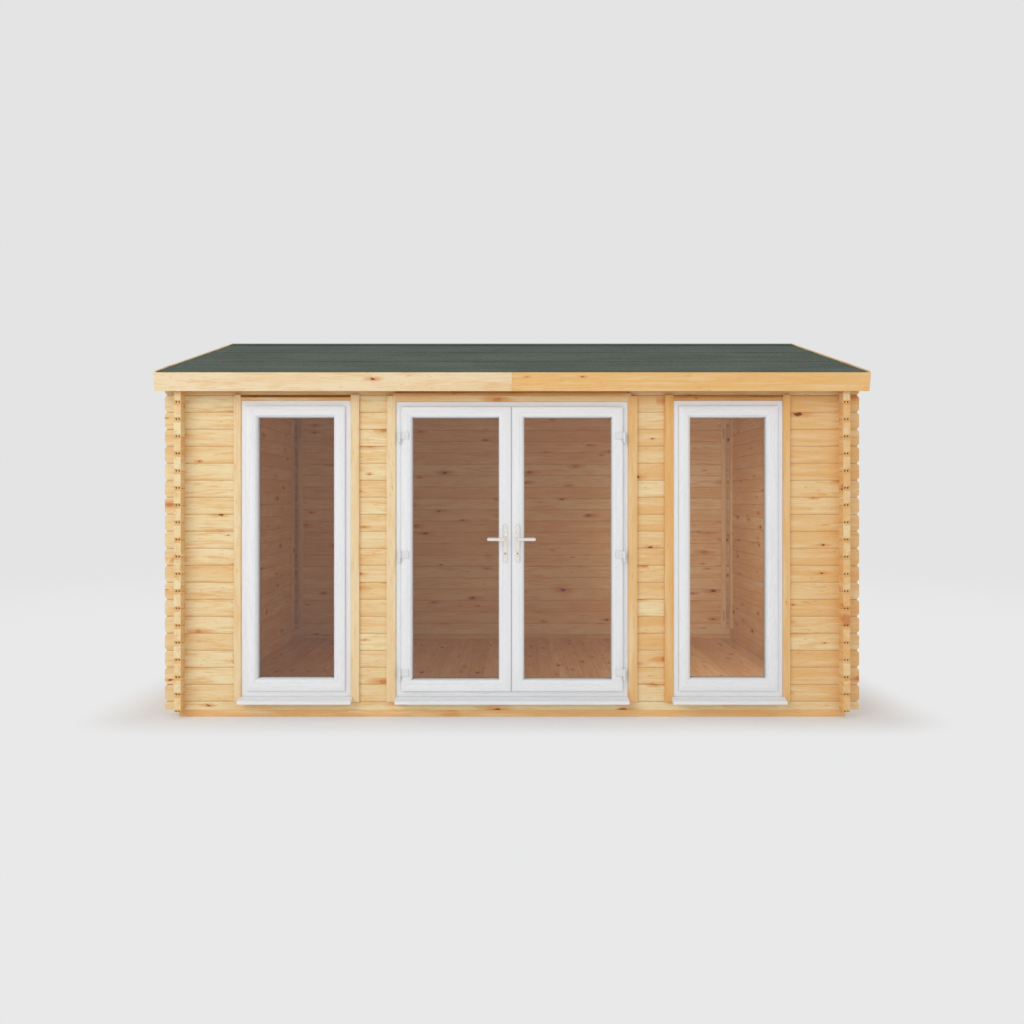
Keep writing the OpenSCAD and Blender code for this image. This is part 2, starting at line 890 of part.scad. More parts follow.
front_bearer();
rear_bearer();
side_bearers();
floor_joists();
floor_boards();
front_bottom_log();
front_wall_left();
front_wall_right();
front_pier_left();
front_pier_right();
front_header_logs();
rear_wall();
left_wall();
right_wall();
left_gable();
right_gable();
ridge_purlin();
side_purlins();
front_roof_boards();
rear_roof_boards();
front_roof_felt();
rear_roof_felt();
front_fascia_left();
front_fascia_right();
rear_fascias();
left_bargeboards();
right_bargeboards();
left_window_frame();
left_window_sash();
left_window_glass();
right_window_frame();
right_window_sash();
right_window_glass();
window_sills();
window_trims();
door_frame();
door_sill();
door_trim();
door_frame_hinges();
left_door_leaf();
left_door_glass();
left_door_hinges();
left_handle_plates();
left_lock_cylinder();
left_lever();
right_door_leaf();
right_door_glass();
right_door_hinges();
right_handle_plates();
right_lock_cylinder();
right_lever();
storm_braces();
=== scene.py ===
"""Looks of a garden office pod: log walls, felt roof, white glazed doors and windows, in a pale studio.

Lengths are in metres. X runs right, Y runs to the back (the doors face -Y) and Z is up.
"""

import json
import logging
import math
from dataclasses import dataclass
from enum import Enum
from functools import cache
from typing import Sequence

import bmesh
import bpy
import numpy as np
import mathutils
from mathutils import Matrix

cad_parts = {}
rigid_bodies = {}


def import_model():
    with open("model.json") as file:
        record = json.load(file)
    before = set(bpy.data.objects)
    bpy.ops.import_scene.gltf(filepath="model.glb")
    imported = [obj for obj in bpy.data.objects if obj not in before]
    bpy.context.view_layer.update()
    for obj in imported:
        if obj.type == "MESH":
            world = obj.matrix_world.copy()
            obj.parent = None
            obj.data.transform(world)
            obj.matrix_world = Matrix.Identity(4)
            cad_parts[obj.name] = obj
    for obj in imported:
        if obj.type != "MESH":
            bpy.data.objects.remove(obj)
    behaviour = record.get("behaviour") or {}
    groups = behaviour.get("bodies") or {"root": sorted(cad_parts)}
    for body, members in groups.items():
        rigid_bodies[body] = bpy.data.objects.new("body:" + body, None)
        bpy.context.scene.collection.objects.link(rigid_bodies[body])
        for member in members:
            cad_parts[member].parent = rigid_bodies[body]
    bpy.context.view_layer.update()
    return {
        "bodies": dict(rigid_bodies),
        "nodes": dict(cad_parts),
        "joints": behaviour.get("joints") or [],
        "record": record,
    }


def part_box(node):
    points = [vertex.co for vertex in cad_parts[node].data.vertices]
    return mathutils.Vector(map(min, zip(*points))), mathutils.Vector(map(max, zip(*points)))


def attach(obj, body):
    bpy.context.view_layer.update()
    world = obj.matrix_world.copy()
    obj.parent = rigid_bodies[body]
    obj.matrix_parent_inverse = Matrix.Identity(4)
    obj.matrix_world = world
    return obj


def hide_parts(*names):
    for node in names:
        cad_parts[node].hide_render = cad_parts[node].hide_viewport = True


LOG = logging.getLogger("garden_office")
Colour = tuple[float, float, float]
Vector = tuple[float, float, float]
Pair = tuple[float, float]
Socket = bpy.types.NodeSocket
TINY = 1e-6
MERGE = 1e-5
SHARP = 0.6
BOARD_SPREAD = 0.06
SQUARENESS = 2.6


class Body(Enum):
    """Bodies of the frame that a piece can ride on."""

    CABIN = "cabin"
    LEFT_DOOR = "left_door"
    RIGHT_DOOR = "right_door"
    LEFT_LEVER = "left_lever"
    RIGHT_LEVER = "right_lever"


class Side(Enum):
    """Left or right half of the building, as the sign of X there."""

    LEFT = -1
    RIGHT = 1

    @property
    def word(self) -> str:
        """The side's name as the frame's nodes spell it."""
        return self.name.lower()

    @property
    def door(self) -> Body:
        """The leaf on this side."""
        return Body[f"{self.name}_DOOR"]

    @property
    def lever(self) -> Body:
        """The pair of levers on that leaf."""
        return Body[f"{self.name}_LEVER"]


# ---- finishes


class Recipe:
    """A tree of nodes, built one at a time. An input is a number, a colour or another node's output."""

    def __init__(self, owner: bpy.types.Material | bpy.types.World) -> None:
        """Empties the tree of a new material or world.

        Args:
            owner: what the tree belongs to.
        """
        owner.use_nodes = True
        self.owner, self.tree = owner, owner.node_tree
        self.tree.nodes.clear()

    def node(self, kind: str, inputs: dict | None = None, out: str | int = 0, **settings: object) -> Socket:
        """Adds a node.

        Args:
            kind: the node's type without its ShaderNode prefix.
            inputs: values or outputs for its inputs, by name or number.
            out: which of its outputs is wanted.
            **settings: the node's own properties.

        Returns:
            The wanted output.
        """
        made = self.tree.nodes.new("ShaderNode" + kind)
        for key, value in settings.items():
            setattr(made, key, value)
        for key, value in (inputs or {}).items():
            if isinstance(value, Socket):
                self.tree.links.new(value, made.inputs[key])
            else:
                made.inputs[key].default_value = value
        return made.outputs[out]

    def math(self, operation: str, first: object, second: object = 0.0, third: object = 0.0) -> Socket:
        """One arithmetic step on numbers."""
        return self.node("Math", {0: first, 1: second, 2: third}, operation=operation)

    def vector(self, operation: str, first: object, second: object = (0.0, 0.0, 0.0),
               out: str | int = 0) -> Socket:
        """One arithmetic step on vectors."""
        return self.node("VectorMath", {0: first, 1: second}, out, operation=operation)

    def noise(self, place: object, stretch: Sequence[float], detail: float = 2.0,
              out: str = "Fac") -> Socket:
        """Smooth noise, with so many features a metre along each axis.

        Args:
            place: the position that the noise is read at.
            stretch: features a metre along the three axes.
            detail: number of finer layers.
            out: Fac for a number from 0 to 1, or Color for a vector of three.

        Returns:
            The noise.
        """
        scaled = self.vector("MULTIPLY", place, tuple(stretch))
        return self.node("TexNoise", {"Vector": scaled, "Scale": 1.0, "Detail": detail}, out)

    def sway(self, place: object, stretch: Sequence[float], detail: float, reach: Vector) -> Socket:
        """A wandering offset: a vector noise about zero, times its reach.

        Args:
            place: the position that the noise is read at.
            stretch: features a metre along the three axes.
            detail: number of finer layers.
            reach: twice the greatest offset along each axis, in metres.

        Returns:
            The offset.
        """
        wander = self.noise(place, stretch, detail, "Color")
        return self.vector("MULTIPLY", self.vector("SUBTRACT", wander, (0.5, 0.5, 0.5)), reach)

    def fade(self, value: object, start: float, end: float, low: object = 0.0,
             high: object = 1.0) -> Socket:
        """A smooth step from low at start to high at end."""
        inputs = {"Value": value, "From Min": start, "From Max": end, "To Min": low, "To Max": high}
        return self.node("MapRange", inputs, interpolation_type="SMOOTHSTEP")

    def blend(self, share: object, first: object, second: object, mode: str = "MIX") -> Socket:
        """Mixes two colours."""
        pick = {0: share, 6: opaque(first), 7: opaque(second)}
        return self.node("Mix", pick, 2, data_type="RGBA", blend_type=mode)

    def bump(self, height: object, depth: float, strength: float = 1.0) -> Socket:
        """A normal bent by a height from 0 to 1 that stands for so many metres."""
        return self.node("Bump", {"Height": height, "Distance": depth, "Strength": strength})

    def finish(self, shader: Socket) -> bpy.types.Material | bpy.types.World:
        """Ends the tree.

        Args:
            shader: the output that the surface shows.

        Returns:
            What the tree belongs to.
        """
        output = self.tree.nodes.new("ShaderNodeOutput" + type(self.owner).__name__)
        self.tree.links.new(shader, output.inputs["Surface"])
        return self.owner


def opaque(colour: object) -> object:
    """A colour with an alpha of 1, or a node's output as it is."""
    return (*colour, 1.0) if isinstance(colour, tuple) and len(colour) == 3 else colour


@dataclass(frozen=True)
class WoodFinish:
    """Planed softwood, which reads a piece's grain and tone.

    The grain is the position along, across and through the board, measured from its heart. A rate is a
    noise's features a metre along those three, and a fade is the range over which a noise comes in.
    """

    name: str
    pale: Colour = (0.865, 0.720, 0.425)
    deep: Colour = (0.79, 0.480, 0.195)
    cream: Colour = (0.88, 0.735, 0.490)
    warm: Colour = (0.76, 0.420, 0.140)
    halo: Colour = (0.68, 0.270, 0.065)
    soft_knot: Colour = (0.480, 0.150, 0.040)
    hard_knot: Colour = (0.160, 0.035, 0.016)
    # Painted shade: the dark colour for the insides of the log-end grooves and the depths of the V joints.
    hollow: Colour = (0.095, 0.034, 0.012)
    ring_pitch: float = 0.0065
    ring_strength: float = 0.22
    wander_rate: Vector = (1.3, 9.0, 9.0)
    drift: float = 0.22
    drift_rate: Vector = (1.3, 12.0, 12.0)
    patch_strength: float = 0.74
    patch_fade: Pair = (0.45, 0.68)
    patch_rate: Vector = (4.6, 30.0, 30.0)
    streak_share: float = 0.46
    streak_rate: Vector = (7.0, 110.0, 110.0)
    cream_strength: float = 0.66
    cream_fade: Pair = (0.47, 0.70)
    cream_rate: Vector = (2.1, 34.0, 34.0)
    fleck_strength: float = 0.62
    fleck_fade: Pair = (0.62, 0.74)
    fleck_rate: Vector = (16.0, 95.0, 95.0)
    fibre_rate: Vector = (9.0, 620.0, 620.0)
    fibre_levels: Pair = (0.41, 0.59)
    knot_share: float = 0.26
    knot_least: float = 0.004
    knot_most: float = 0.017
    knot_run: float = 0.21
    knot_row: float = 0.080
    ragged_rate: Vector = (26.0, 85.0, 85.0)
    core_narrow: float = 0.6
    halo_narrow: float = 0.24
    halo_reach: float = 2.3
    halo_strength: float = 0.72
    ring_swell: float = 0.016
    roughness: float = 0.62
    relief: float = 0.0004
    groove_fade: Pair = (1.6, 2.4)

    @cache
    def material(self) -> bpy.types.Material:
        """The node material.

        A slow noise drawn out along the grain shifts the board's tone between pale and deep. Cream and
        orange streaks, growth rings, fibres and knots go over it in turn. A tone far above 1 marks the
        inside of a groove and the depth of a V joint, and darkens them as painted shade.

        Returns:
            The material.
        """
        mix = Recipe(bpy.data.materials.new(self.name))
        grain = mix.node("Attribute", {}, "Vector", attribute_name="grain")
        tone = mix.node("Attribute", {}, "Fac", attribute_name="tone")
        core, core_colour, halo, swell = self.knots(mix, grain)
        wander = mix.sway(grain, self.wander_rate, 2.0, (0.0, 0.06, 0.06))
        bent = mix.vector("ADD", grain, wander)
        rings = self.rings(mix, bent, swell)
        slow = mix.noise(grain, self.drift_rate, 2.0)
        drift = mix.fade(slow, 0.3, 0.7, -self.drift, self.drift)
        colour = mix.blend(mix.node("Clamp", {0: mix.math("ADD", tone, drift)}), self.pale, self.deep)
        colour = self.streaked(mix, grain, bent, tone, colour)
        ring_share = mix.math("MULTIPLY", rings, mix.fade(slow, 0.3, 0.75, 0.04, self.ring_strength))
        colour = mix.blend(ring_share, colour, self.warm)
        fibres = mix.noise(grain, self.fibre_rate, 2.0)
        colour = mix.blend(0.5, colour, mix.fade(fibres, 0.25, 0.8, *self.fibre_levels), "OVERLAY")
        colour = mix.blend(halo, colour, self.halo)
        colour = mix.blend(core, colour, core_colour)
        # Painted shade: a tone far above 1 blends the colour towards the dark hollow colour.
        colour = mix.blend(mix.fade(tone, *self.groove_fade), colour, self.hollow)
        height = mix.math("ADD", fibres, mix.math("MULTIPLY", rings, 0.5))
        inputs = {
            "Base Color": colour,
            "Roughness": mix.fade(fibres, 0.2, 0.8, self.roughness - 0.08, self.roughness + 0.1),
            "Specular IOR Level": 0.3,
            "Normal": mix.bump(height, self.relief, 0.6),
        }
        return mix.finish(mix.node("BsdfPrincipled", inputs))

    def rings(self, mix: Recipe, bent: Socket, swell: Socket) -> Socket:
        """Growth rings: the sine of the distance from the heart in ring pitches, as 0 to 1, and squared.

        Args:
            mix: the material that they are added to.
            bent: the grain position, wandering along the board.
            swell: metres that the rings bulge by round a knot.

        Returns:
            The rings, from 0 in the soft early wood to 1 in the dark late wood.
        """
        section = mix.vector("MULTIPLY", bent, (0.0, 1.0, 1.0))
        radius = mix.math("ADD", mix.vector("LENGTH", section, out="Value"), swell)
        wave = mix.math("SINE", mix.math("MULTIPLY", radius, 2 * math.pi / self.ring_pitch))
        return mix.math("POWER", mix.fade(wave, -1.0, 1.0), 2.0)

    def streaked(self, mix: Recipe, grain: Socket, bent: Socket, tone: Socket, colour: Socket) -> Socket:
        """Adds cream streaks, orange patches with fine streaks in them, and small resin flecks.

        Each is a noise drawn out along the grain, faded in above a threshold.

        Args:
            mix: the material that they are added to.
            grain: the grain position.
            bent: the grain position, wandering along the board.
            tone: the board's tone, which weakens the cream as it rises.
            colour: the colour under them.

        Returns:
            The colour with them.
        """
        light = mix.noise(mix.vector("ADD", grain, (3.7, 0.0, 0.0)), self.cream_rate, 3.0)
        light = mix.math("MULTIPLY", mix.fade(light, *self.cream_fade, 0.0, self.cream_strength),
                         mix.fade(tone, 0.0, 1.0, 1.0, 0.5))
        colour = mix.blend(light, colour, self.cream)
        patches = mix.noise(bent, self.patch_rate, 5.0)
        streaks = mix.noise(grain, self.streak_rate, 3.0)
        share = mix.math("MULTIPLY", patches, 1 - self.streak_share)
        share = mix.math("MULTIPLY_ADD", streaks, self.streak_share, share)
        colour = mix.blend(mix.fade(share, *self.patch_fade, 0.0, self.patch_strength), colour, self.warm)
        flecks = mix.noise(grain, self.fleck_rate, 4.0)
        flecks = mix.fade(flecks, *self.fleck_fade, 0.0, self.fleck_strength)
        return mix.blend(flecks, colour, self.halo)

    def knots(self, mix: Recipe, grain: Socket) -> tuple[Socket, ...]:
        """Knots in random cells of the board's face, most of them soft and a few hard and dark.

        Args:
            mix: the material that they are added to.
            grain: the output that gives the board's grain position.

        Returns:
            The share of the core, its colour, the share of the halo, and the swelling of the rings in metres.
        """
        cell = mix.vector("MULTIPLY", grain, (1 / self.knot_run, 1 / self.knot_row, 0.0))
        cells = mix.node("TexVoronoi", {"Vector": cell, "Scale": 1.0}, "Position", voronoi_dimensions="2D")
        chance = mix.node("SeparateColor", {0: cells.node.outputs["Color"]}).node.outputs
        present = mix.math("LESS_THAN", chance[0], self.knot_share)
        size = mix.fade(chance[1], 0.0, 1.0, self.knot_least, self.knot_most)
        hard = mix.fade(chance[2], 0.50, 0.85)
        ragged = mix.sway(grain, self.ragged_rate, 3.0, (0.05, 0.022, 0.0))
        offset = mix.vector("SUBTRACT", cell, cells)
        offset = mix.vector("MULTIPLY", offset, (self.knot_run, self.knot_row, 0.0))
        offset = mix.vector("ADD", offset, ragged)
        near, far = (
            mix.vector("LENGTH", mix.vector("MULTIPLY", offset, (narrow, 1.0, 0.0)), out="Value")
            for narrow in (self.core_narrow, self.halo_narrow)
        )
        near, far = mix.math("DIVIDE", near, size), mix.math("DIVIDE", far, size)
        depth = mix.math("MULTIPLY_ADD", hard, 0.45, 0.52)
        core = mix.math("MULTIPLY", mix.math("MULTIPLY", mix.fade(near, 0.55, 1.1, 1.0, 0.0), depth), present)
        halo = mix.fade(far, 0.4, self.halo_reach, self.halo_strength, 0.0)
        halo = mix.math("MULTIPLY", halo, present)
        swell = mix.math("MULTIPLY", mix.fade(far, 0.5, 3.5, self.ring_swell, 0.0), present)
        return core, mix.blend(hard, self.soft_knot, self.hard_knot), halo, swell


@dataclass(frozen=True)
class FoilFinish:
    """White plastic profile with a faint embossed woodgrain that follows each member."""

    name: str
    colour: Colour = (0.86, 0.865, 0.875)
    # Painted shade of the embossed streaks.
    shadow: Colour = (0.785, 0.79, 0.80)
    roughness: float = 0.36
    fibre_rate: Vector = (22.0, 330.0, 330.0)
    wave_rate: Vector = (4.0, 60.0, 60.0)

    @cache
    def material(self) -> bpy.types.Material:
        """The node material: long fine streaks along the member's grain, as embossing and as painted shade in
        the colour.

        Returns:
            The material.
        """
        mix = Recipe(bpy.data.materials.new(self.name))
        grain = mix.node("Attribute", {}, "Vector", attribute_name="grain")
        fibres = mix.noise(grain, self.fibre_rate, 3.0)
        waves = mix.noise(grain, self.wave_rate, 2.0)
        streaks = mix.math("MULTIPLY_ADD", fibres, 0.65, mix.math("MULTIPLY", waves, 0.35))
        inputs = {
            "Base Color": mix.blend(mix.fade(streaks, 0.40, 0.66, 0.0, 1.0), self.colour, self.shadow),
            "Roughness": mix.fade(fibres, 0.3, 0.7, self.roughness - 0.05, self.roughness + 0.09),
            "Specular IOR Level": 0.45,
            "Normal": mix.bump(streaks, 0.0006, 0.5),
        }
        return mix.finish(mix.node("BsdfPrincipled", inputs))


@dataclass(frozen=True)
class FeltFinish:
    """Green mineral felt: crushed slate granules over slow weathered patches."""

    name: str
    light: Colour = (0.150, 0.185, 0.150)
    dark: Colour = (0.052, 0.072, 0.055)
    granule: float = 260.0
    coarse_rate: Vector = (70.0, 52.0, 52.0)
    patch_rate: Vector = (1.6, 3.4, 3.4)

    @cache
    def material(self) -> bpy.types.Material:
        """The node material: cell noise for the granules, two slower noises for patches and rolling marks.

        Returns:
            The material.
        """
        mix = Recipe(bpy.data.materials.new(self.name))
        place = mix.node("TexCoord", {}, "Object")
        scaled = mix.vector("MULTIPLY", place, (self.granule,) * 3)
        cells = mix.node("TexVoronoi", {"Vector": scaled, "Scale": 1.0}, "Color")
        grit = mix.node("SeparateColor", {0: cells})
        coarse = mix.noise(place, self.coarse_rate, 5.0)
        patches = mix.noise(place, self.patch_rate, 3.0)
        share = mix.math("MULTIPLY_ADD", grit, 0.42, mix.math("MULTIPLY", mix.fade(coarse, 0.25, 0.75), 0.56))
        share = mix.math("ADD", share, mix.fade(patches, 0.3, 0.7, -0.16, 0.13))
        inputs = {
            "Base Color": mix.blend(mix.node("Clamp", {0: share}), self.dark, self.light),
            "Roughness": mix.fade(grit, 0.0, 1.0, 0.82, 0.98),
            "Specular IOR Level": 0.2,
            "Normal": mix.bump(grit, 0.0012, 0.7),
        }
        return mix.finish(mix.node("BsdfPrincipled", inputs))


@dataclass(frozen=True)
class GlassFinish:
    """Thin clear pane: what is behind it shows unbent and slightly tinted, and it mirrors more at a slant."""

    name: str
    tint: Colour = (0.985, 0.975, 0.965)
    head_on: float = 0.020

    @cache
    def material(self) -> bpy.types.Material:
        """The node material: a see-through and a mirror shader, mixed by the fifth power of the slant.

        Returns:
            The material.
        """
        mix = Recipe(bpy.data.materials.new(self.name))
        slant = mix.node("LayerWeight", {"Blend": 0.5}, "Facing")
        share = mix.math("MULTIPLY_ADD", mix.math("POWER", slant, 5.0), 0.8, self.head_on)
        clear = mix.node("BsdfTransparent", {"Color": opaque(self.tint)})
        place = mix.node("TexCoord", {}, "Object")
        ripple = mix.noise(place, (3.0, 3.0, 3.0), 1.0)
        mirror = mix.node(
            "BsdfAnisotropic",
            {"Color": (0.95, 0.96, 0.97, 1.0), "Roughness": 0.04, "Normal": mix.bump(ripple, 0.0004, 0.3)},
        )
        return mix.finish(mix.node("MixShader", {0: share, 1: clear, 2: mirror}))


@dataclass(frozen=True)
class MetalFinish:
    """Satin metal with fine brushing."""

    name: str
    colour: Colour
    roughness: float = 0.34
    metallic: float = 1.0
    brushing: tuple[float, float, float] = (900.0, 900.0, 60.0)

    @cache
    def material(self) -> bpy.types.Material:
        """The node material: brushing noise drives the roughness and a faint bump.

        Returns:
            The material.
        """
        mix = Recipe(bpy.data.materials.new(self.name))
        place = mix.node("TexCoord", {}, "Object")
        lines = mix.noise(place, self.brushing, 2.0)
        cloud = mix.noise(place, (30.0, 30.0, 30.0), 2.0)
        darker = tuple(0.75 * value for value in self.colour)
        inputs = {
            "Base Color": mix.blend(mix.fade(cloud, 0.3, 0.7, 0.0, 0.12), self.colour, darker),
            "Metallic": self.metallic,
            "Roughness": mix.fade(lines, 0.25, 0.75, self.roughness - 0.05, self.roughness + 0.07),
            "Normal": mix.bump(lines, 0.00002, 0.2),
        }
        return mix.finish(mix.node("BsdfPrincipled", inputs))


@dataclass(frozen=True)
class RubberFinish:
    """Matt seal or moulded plastic of one colour, with a fine mottle."""

    name: str
    colour: Colour
    roughness: float = 0.6

    @cache
    def material(self) -> bpy.types.Material:
        """The node material: a fine noise in the colour, the roughness and the surface.

        Returns:
            The material.
        """
        mix = Recipe(bpy.data.materials.new(self.name))
        place = mix.node("TexCoord", {}, "Object")
        mottle = mix.noise(place, (420.0, 420.0, 420.0), 2.0)
        darker = tuple(0.8 * value for value in self.colour)
        inputs = {
            "Base Color": mix.blend(mix.fade(mottle, 0.3, 0.7), self.colour, darker),
            "Roughness": mix.fade(mottle, 0.3, 0.7, self.roughness - 0.06, self.roughness + 0.06),
            "Normal": mix.bump(mottle, 0.0002, 0.4),
        }
        return mix.finish(mix.node("BsdfPrincipled", inputs))


LOGS = WoodFinish("log_pine")
PLANED = WoodFinish("planed_pine", pale=(0.85, 0.675, 0.41), deep=(0.77, 0.405, 0.110), knot_share=0.10,
                    patch_strength=0.45, cream_strength=0.45, ring_strength=0.14)
FASCIA = WoodFinish("fascia_pine", pale=(0.875, 0.715, 0.470), deep=(0.84, 0.515, 0.195), knot_share=0.16,
                    knot_run=0.35, knot_most=0.022, patch_strength=0.5)
# The head strips' darker finish is partly the board's own deeper tone and partly painted shade under the
# fascia.
SHADED_STRIP = WoodFinish("strip_pine", pale=(0.72, 0.420, 0.150), deep=(0.62, 0.300, 0.085), knot_share=0.1)
BEARER = WoodFinish("bearer_pine", pale=(0.88, 0.560, 0.250), deep=(0.76, 0.400, 0.130), knot_share=0.22)
FLOOR = WoodFinish("floor_pine", pale=(0.82, 0.580, 0.300), deep=(0.70, 0.420, 0.180))
FOIL = FoilFinish("white_foil")
FELT = FeltFinish("green_felt")
GLASS = GlassFinish("clear_pane")
STEEL = MetalFinish("satin_steel", (0.93, 0.885, 0.835), 0.28, 0.72)
BRASS = MetalFinish("lock_brass", (0.76, 0.58, 0.28), 0.28)
ZINC = MetalFinish("zinc_heads", (0.62, 0.62, 0.60), 0.4)
SEAL = RubberFinish("grey_seal", (0.60, 0.60, 0.61))
SPACER = RubberFinish("spacer_bar", (0.55, 0.56, 0.57), 0.4)
CAP = RubberFinish("white_caps", (0.84, 0.845, 0.85), 0.35)
# Painted shade: near-black for the keyway plates.
KEYWAY_SHADE = RubberFinish("keyway", (0.03, 0.03, 0.03))


# ---- surfaces


@dataclass(frozen=True)
class Basis:
    """A right-angled frame for a shape: its origin and the directions of its length, depth and height."""

    along: Vector
    depth: Vector
    up: Vector
    origin: Vector = (0.0, 0.0, 0.0)

    def place(self, lengths: np.ndarray, depths: np.ndarray, heights: np.ndarray) -> np.ndarray:
        """Points: the origin plus each measure times its direction."""
        parts = (np.outer(lengths, self.along), np.outer(depths, self.depth), np.outer(heights, self.up))
        return np.array(self.origin) + sum(parts)


ALONG_X = Basis((1, 0, 0), (0, 1, 0), (0, 0, 1))
ALONG_Y = Basis((0, 1, 0), (0, 0, 1), (1, 0, 0))
UPRIGHT = Basis((0, 0, 1), (0, 1, 0), (1, 0, 0))


class Shell:
    """Closed skins gathered into one piece, with the grain and tone of the board that each belongs to."""

    end_scale = 0.4

    def __init__(self) -> None:
        """Starts with nothing in it."""
        self.points: list[np.ndarray] = []
        self.loops: list[np.ndarray] = []
        self.sizes: list[np.ndarray] = []
        self.grain: list[np.ndarray] = []
        self.tone: list[np.ndarray] = []
        self.count = 0

    def add(self, points: np.ndarray, faces: Sequence[np.ndarray], grain: np.ndarray | None = None,
            tone: float | Sequence[object] = 0.5) -> None:
        """Adds a skin.

        Args:
            points: its corners, one row each.
            faces: blocks of faces of one size, one face a row, as numbers of points.
            grain: the grain position of each point, or None for the point itself.
            tone: how deep the board's colour is, from 0 to 1: a number, or a number or array for each block.
        """
        self.points.append(points)
        self.cover(faces, points if grain is None else grain, tone)
        self.count += len(points)

    def cover(self, faces: Sequence[np.ndarray], grain: np.ndarray, tone: float | Sequence[object]) -> None:
        """Adds faces on the points that come next, with a grain of their own.

        Args:
            faces: blocks of faces of one size, one face a row, as numbers of points.
            grain: the grain position of each point.
            tone: the tone of all faces, or a list with one for each block.
        """
        levels = tone if isinstance(tone, list) else [tone] * len(faces)
        for block, level in zip(faces, levels):
            loops = block.ravel()
            self.loops.append(loops + self.count)
            self.sizes.append(np.full(len(block), block.shape[1]))
            self.grain.append(grain[loops])
            self.tone.append(np.repeat(np.broadcast_to(level, len(block)), block.shape[1]))

    def prism(self, outline: np.ndarray, start: object, end: object, basis: Basis, grain: np.ndarray,
              tone: object, bands: Sequence[float] = (), end_tones: Sequence[float] = ()) -> None:
        """Adds a closed prism: an outline of (depth, height) points, carried from start to end.

        Args:
            outline: the section's corners in order.
            start: the length at which it starts, for all points or for each, so that an end may slope.
            end: the length at which it ends, likewise.
            basis: where the lengths, depths and heights lie.
            grain: shift from the board's own middle to its heart.
            tone: how deep the board's colour is: a number, or one for the side that starts at each corner.
            bands: heights at which the end faces change slope.
            end_tones: tones of the end faces from the bottom band up, if they are not those of the sides.
        """
        depth, height = outline.T
        count = len(outline)
        lengths = np.concatenate([np.broadcast_to(start, count), np.broadcast_to(end, count)])
        depths, heights = np.tile(depth, 2), np.tile(height, 2)
        ring = np.arange(count)
        after = np.roll(ring, -1)
        sides = np.stack([ring, after, after + count, ring + count], axis=1)
        levels = [height.min(), *sorted(bands), height.max()]
        caps, tones = [], []
        for number, (low, high) in enumerate(zip(levels[:-1], levels[1:])):
            cap = np.flatnonzero((height > low - TINY) & (height < high + TINY))
            if len(cap) > 2:
                caps.append(np.stack([cap, cap + count]))
                tones.append(end_tones[number] if len(end_tones) else tone)
        grain = np.column_stack([lengths, heights, depths]) + grain
        self.cover(caps, grain * (1.0, self.end_scale, self.end_scale), tones)
        self.add(basis.place(lengths, depths, heights), [sides], grain, [tone])

    def board(self, low: Sequence[float], high: Sequence[float], run: Basis, grain: np.ndarray, tone: float,
              arris: float = 0.0015) -> None:
        """Adds a planed board between two corners, its four long edges eased.

        Args:
            low: one corner.
            high: the opposite corner.
            run: the directions of its length, depth and height.
            grain: shift from the board's middle to its heart.
            tone: how deep its colour is.
            arris: width of the eased edges.
        """
        low, high = np.array(low, float), np.array(high, float)
        axes = (run.along, run.depth, run.up)
        ends = [sorted((low @ np.array(axis), high @ np.array(axis))) for axis in axes]
        (start, end), (near, far), (bottom, top) = ends
        middle = np.array([0.0, (bottom + top) / 2, (near + far) / 2])
        self.prism(eased(near, far, bottom, top, arris), start, end, run, grain - middle, tone)

    def grid(self, points: np.ndarray) -> None:
        """Adds a closed skin over rows of points: quads between rows, and a flat face on each end row.

        Args:
            points: rows x points x 3. Each row is a closed ring.
        """
        rows, count = points.shape[:2]
        index = np.arange(rows * count).reshape(rows, count)
        after = np.roll(index, -1, axis=1)
        quads = np.stack([index[:-1], after[:-1], after[1:], index[1:]], axis=-1).reshape(-1, 4)
        self.add(points.reshape(-1, 3), [quads, index[:1], index[-1:]])

    def build(self, name: str, finish: object, body: Body, slot: str, replaces: Sequence[str] = (),
              smooth: float = 40.0) -> bpy.types.Object:
        """Makes the piece's object and hands it to the frame.

        Args:
            name: the piece's name.
            finish: what it is made of.
            body: the body that it rides on.
            slot: the record's material slot; not used.
            replaces: nodes of the frame that it stands for.
            smooth: edges sharper than this many degrees stay sharp.

        Returns:
            The object.
        """
        mesh = bpy.data.meshes.new(name)
        points, loops, sizes = (np.concatenate(part) for part in (self.points, self.loops, self.sizes))
        mesh.vertices.add(len(points))
        mesh.vertices.foreach_set("co", points.astype(np.float32).ravel())
        mesh.loops.add(len(loops))
        mesh.loops.foreach_set("vertex_index", loops.astype(np.int32))
        mesh.polygons.add(len(sizes))
        mesh.polygons.foreach_set("loop_start", (np.cumsum(sizes) - sizes).astype(np.int32))
        mesh.update(calc_edges=True)
        write(mesh, "grain", "FLOAT_VECTOR", "vector", np.concatenate(self.grain))
        write(mesh, "tone", "FLOAT", "value", np.concatenate(self.tone))
        return deliver(outwards(mesh), name, finish, body, replaces, smooth)


def write(mesh: bpy.types.Mesh, name: str, kind: str, key: str, values: np.ndarray) -> None:
    """Stores one value for each face corner of a mesh."""
    made = mesh.attributes.new(name, kind, "CORNER")
    made.data.foreach_set(key, values.astype(np.float32).ravel())


def outwards(mesh: bpy.types.Mesh) -> bpy.types.Mesh:
    """Turns every closed skin's faces outwards.

    Args:
        mesh: the mesh, which is changed.

    Returns:
        The same mesh.
    """
    work = bmesh.new()
    work.from_mesh(mesh)
    bmesh.ops.recalc_face_normals(work, faces=work.faces)
    work.to_mesh(mesh)
    work.free()
    return mesh


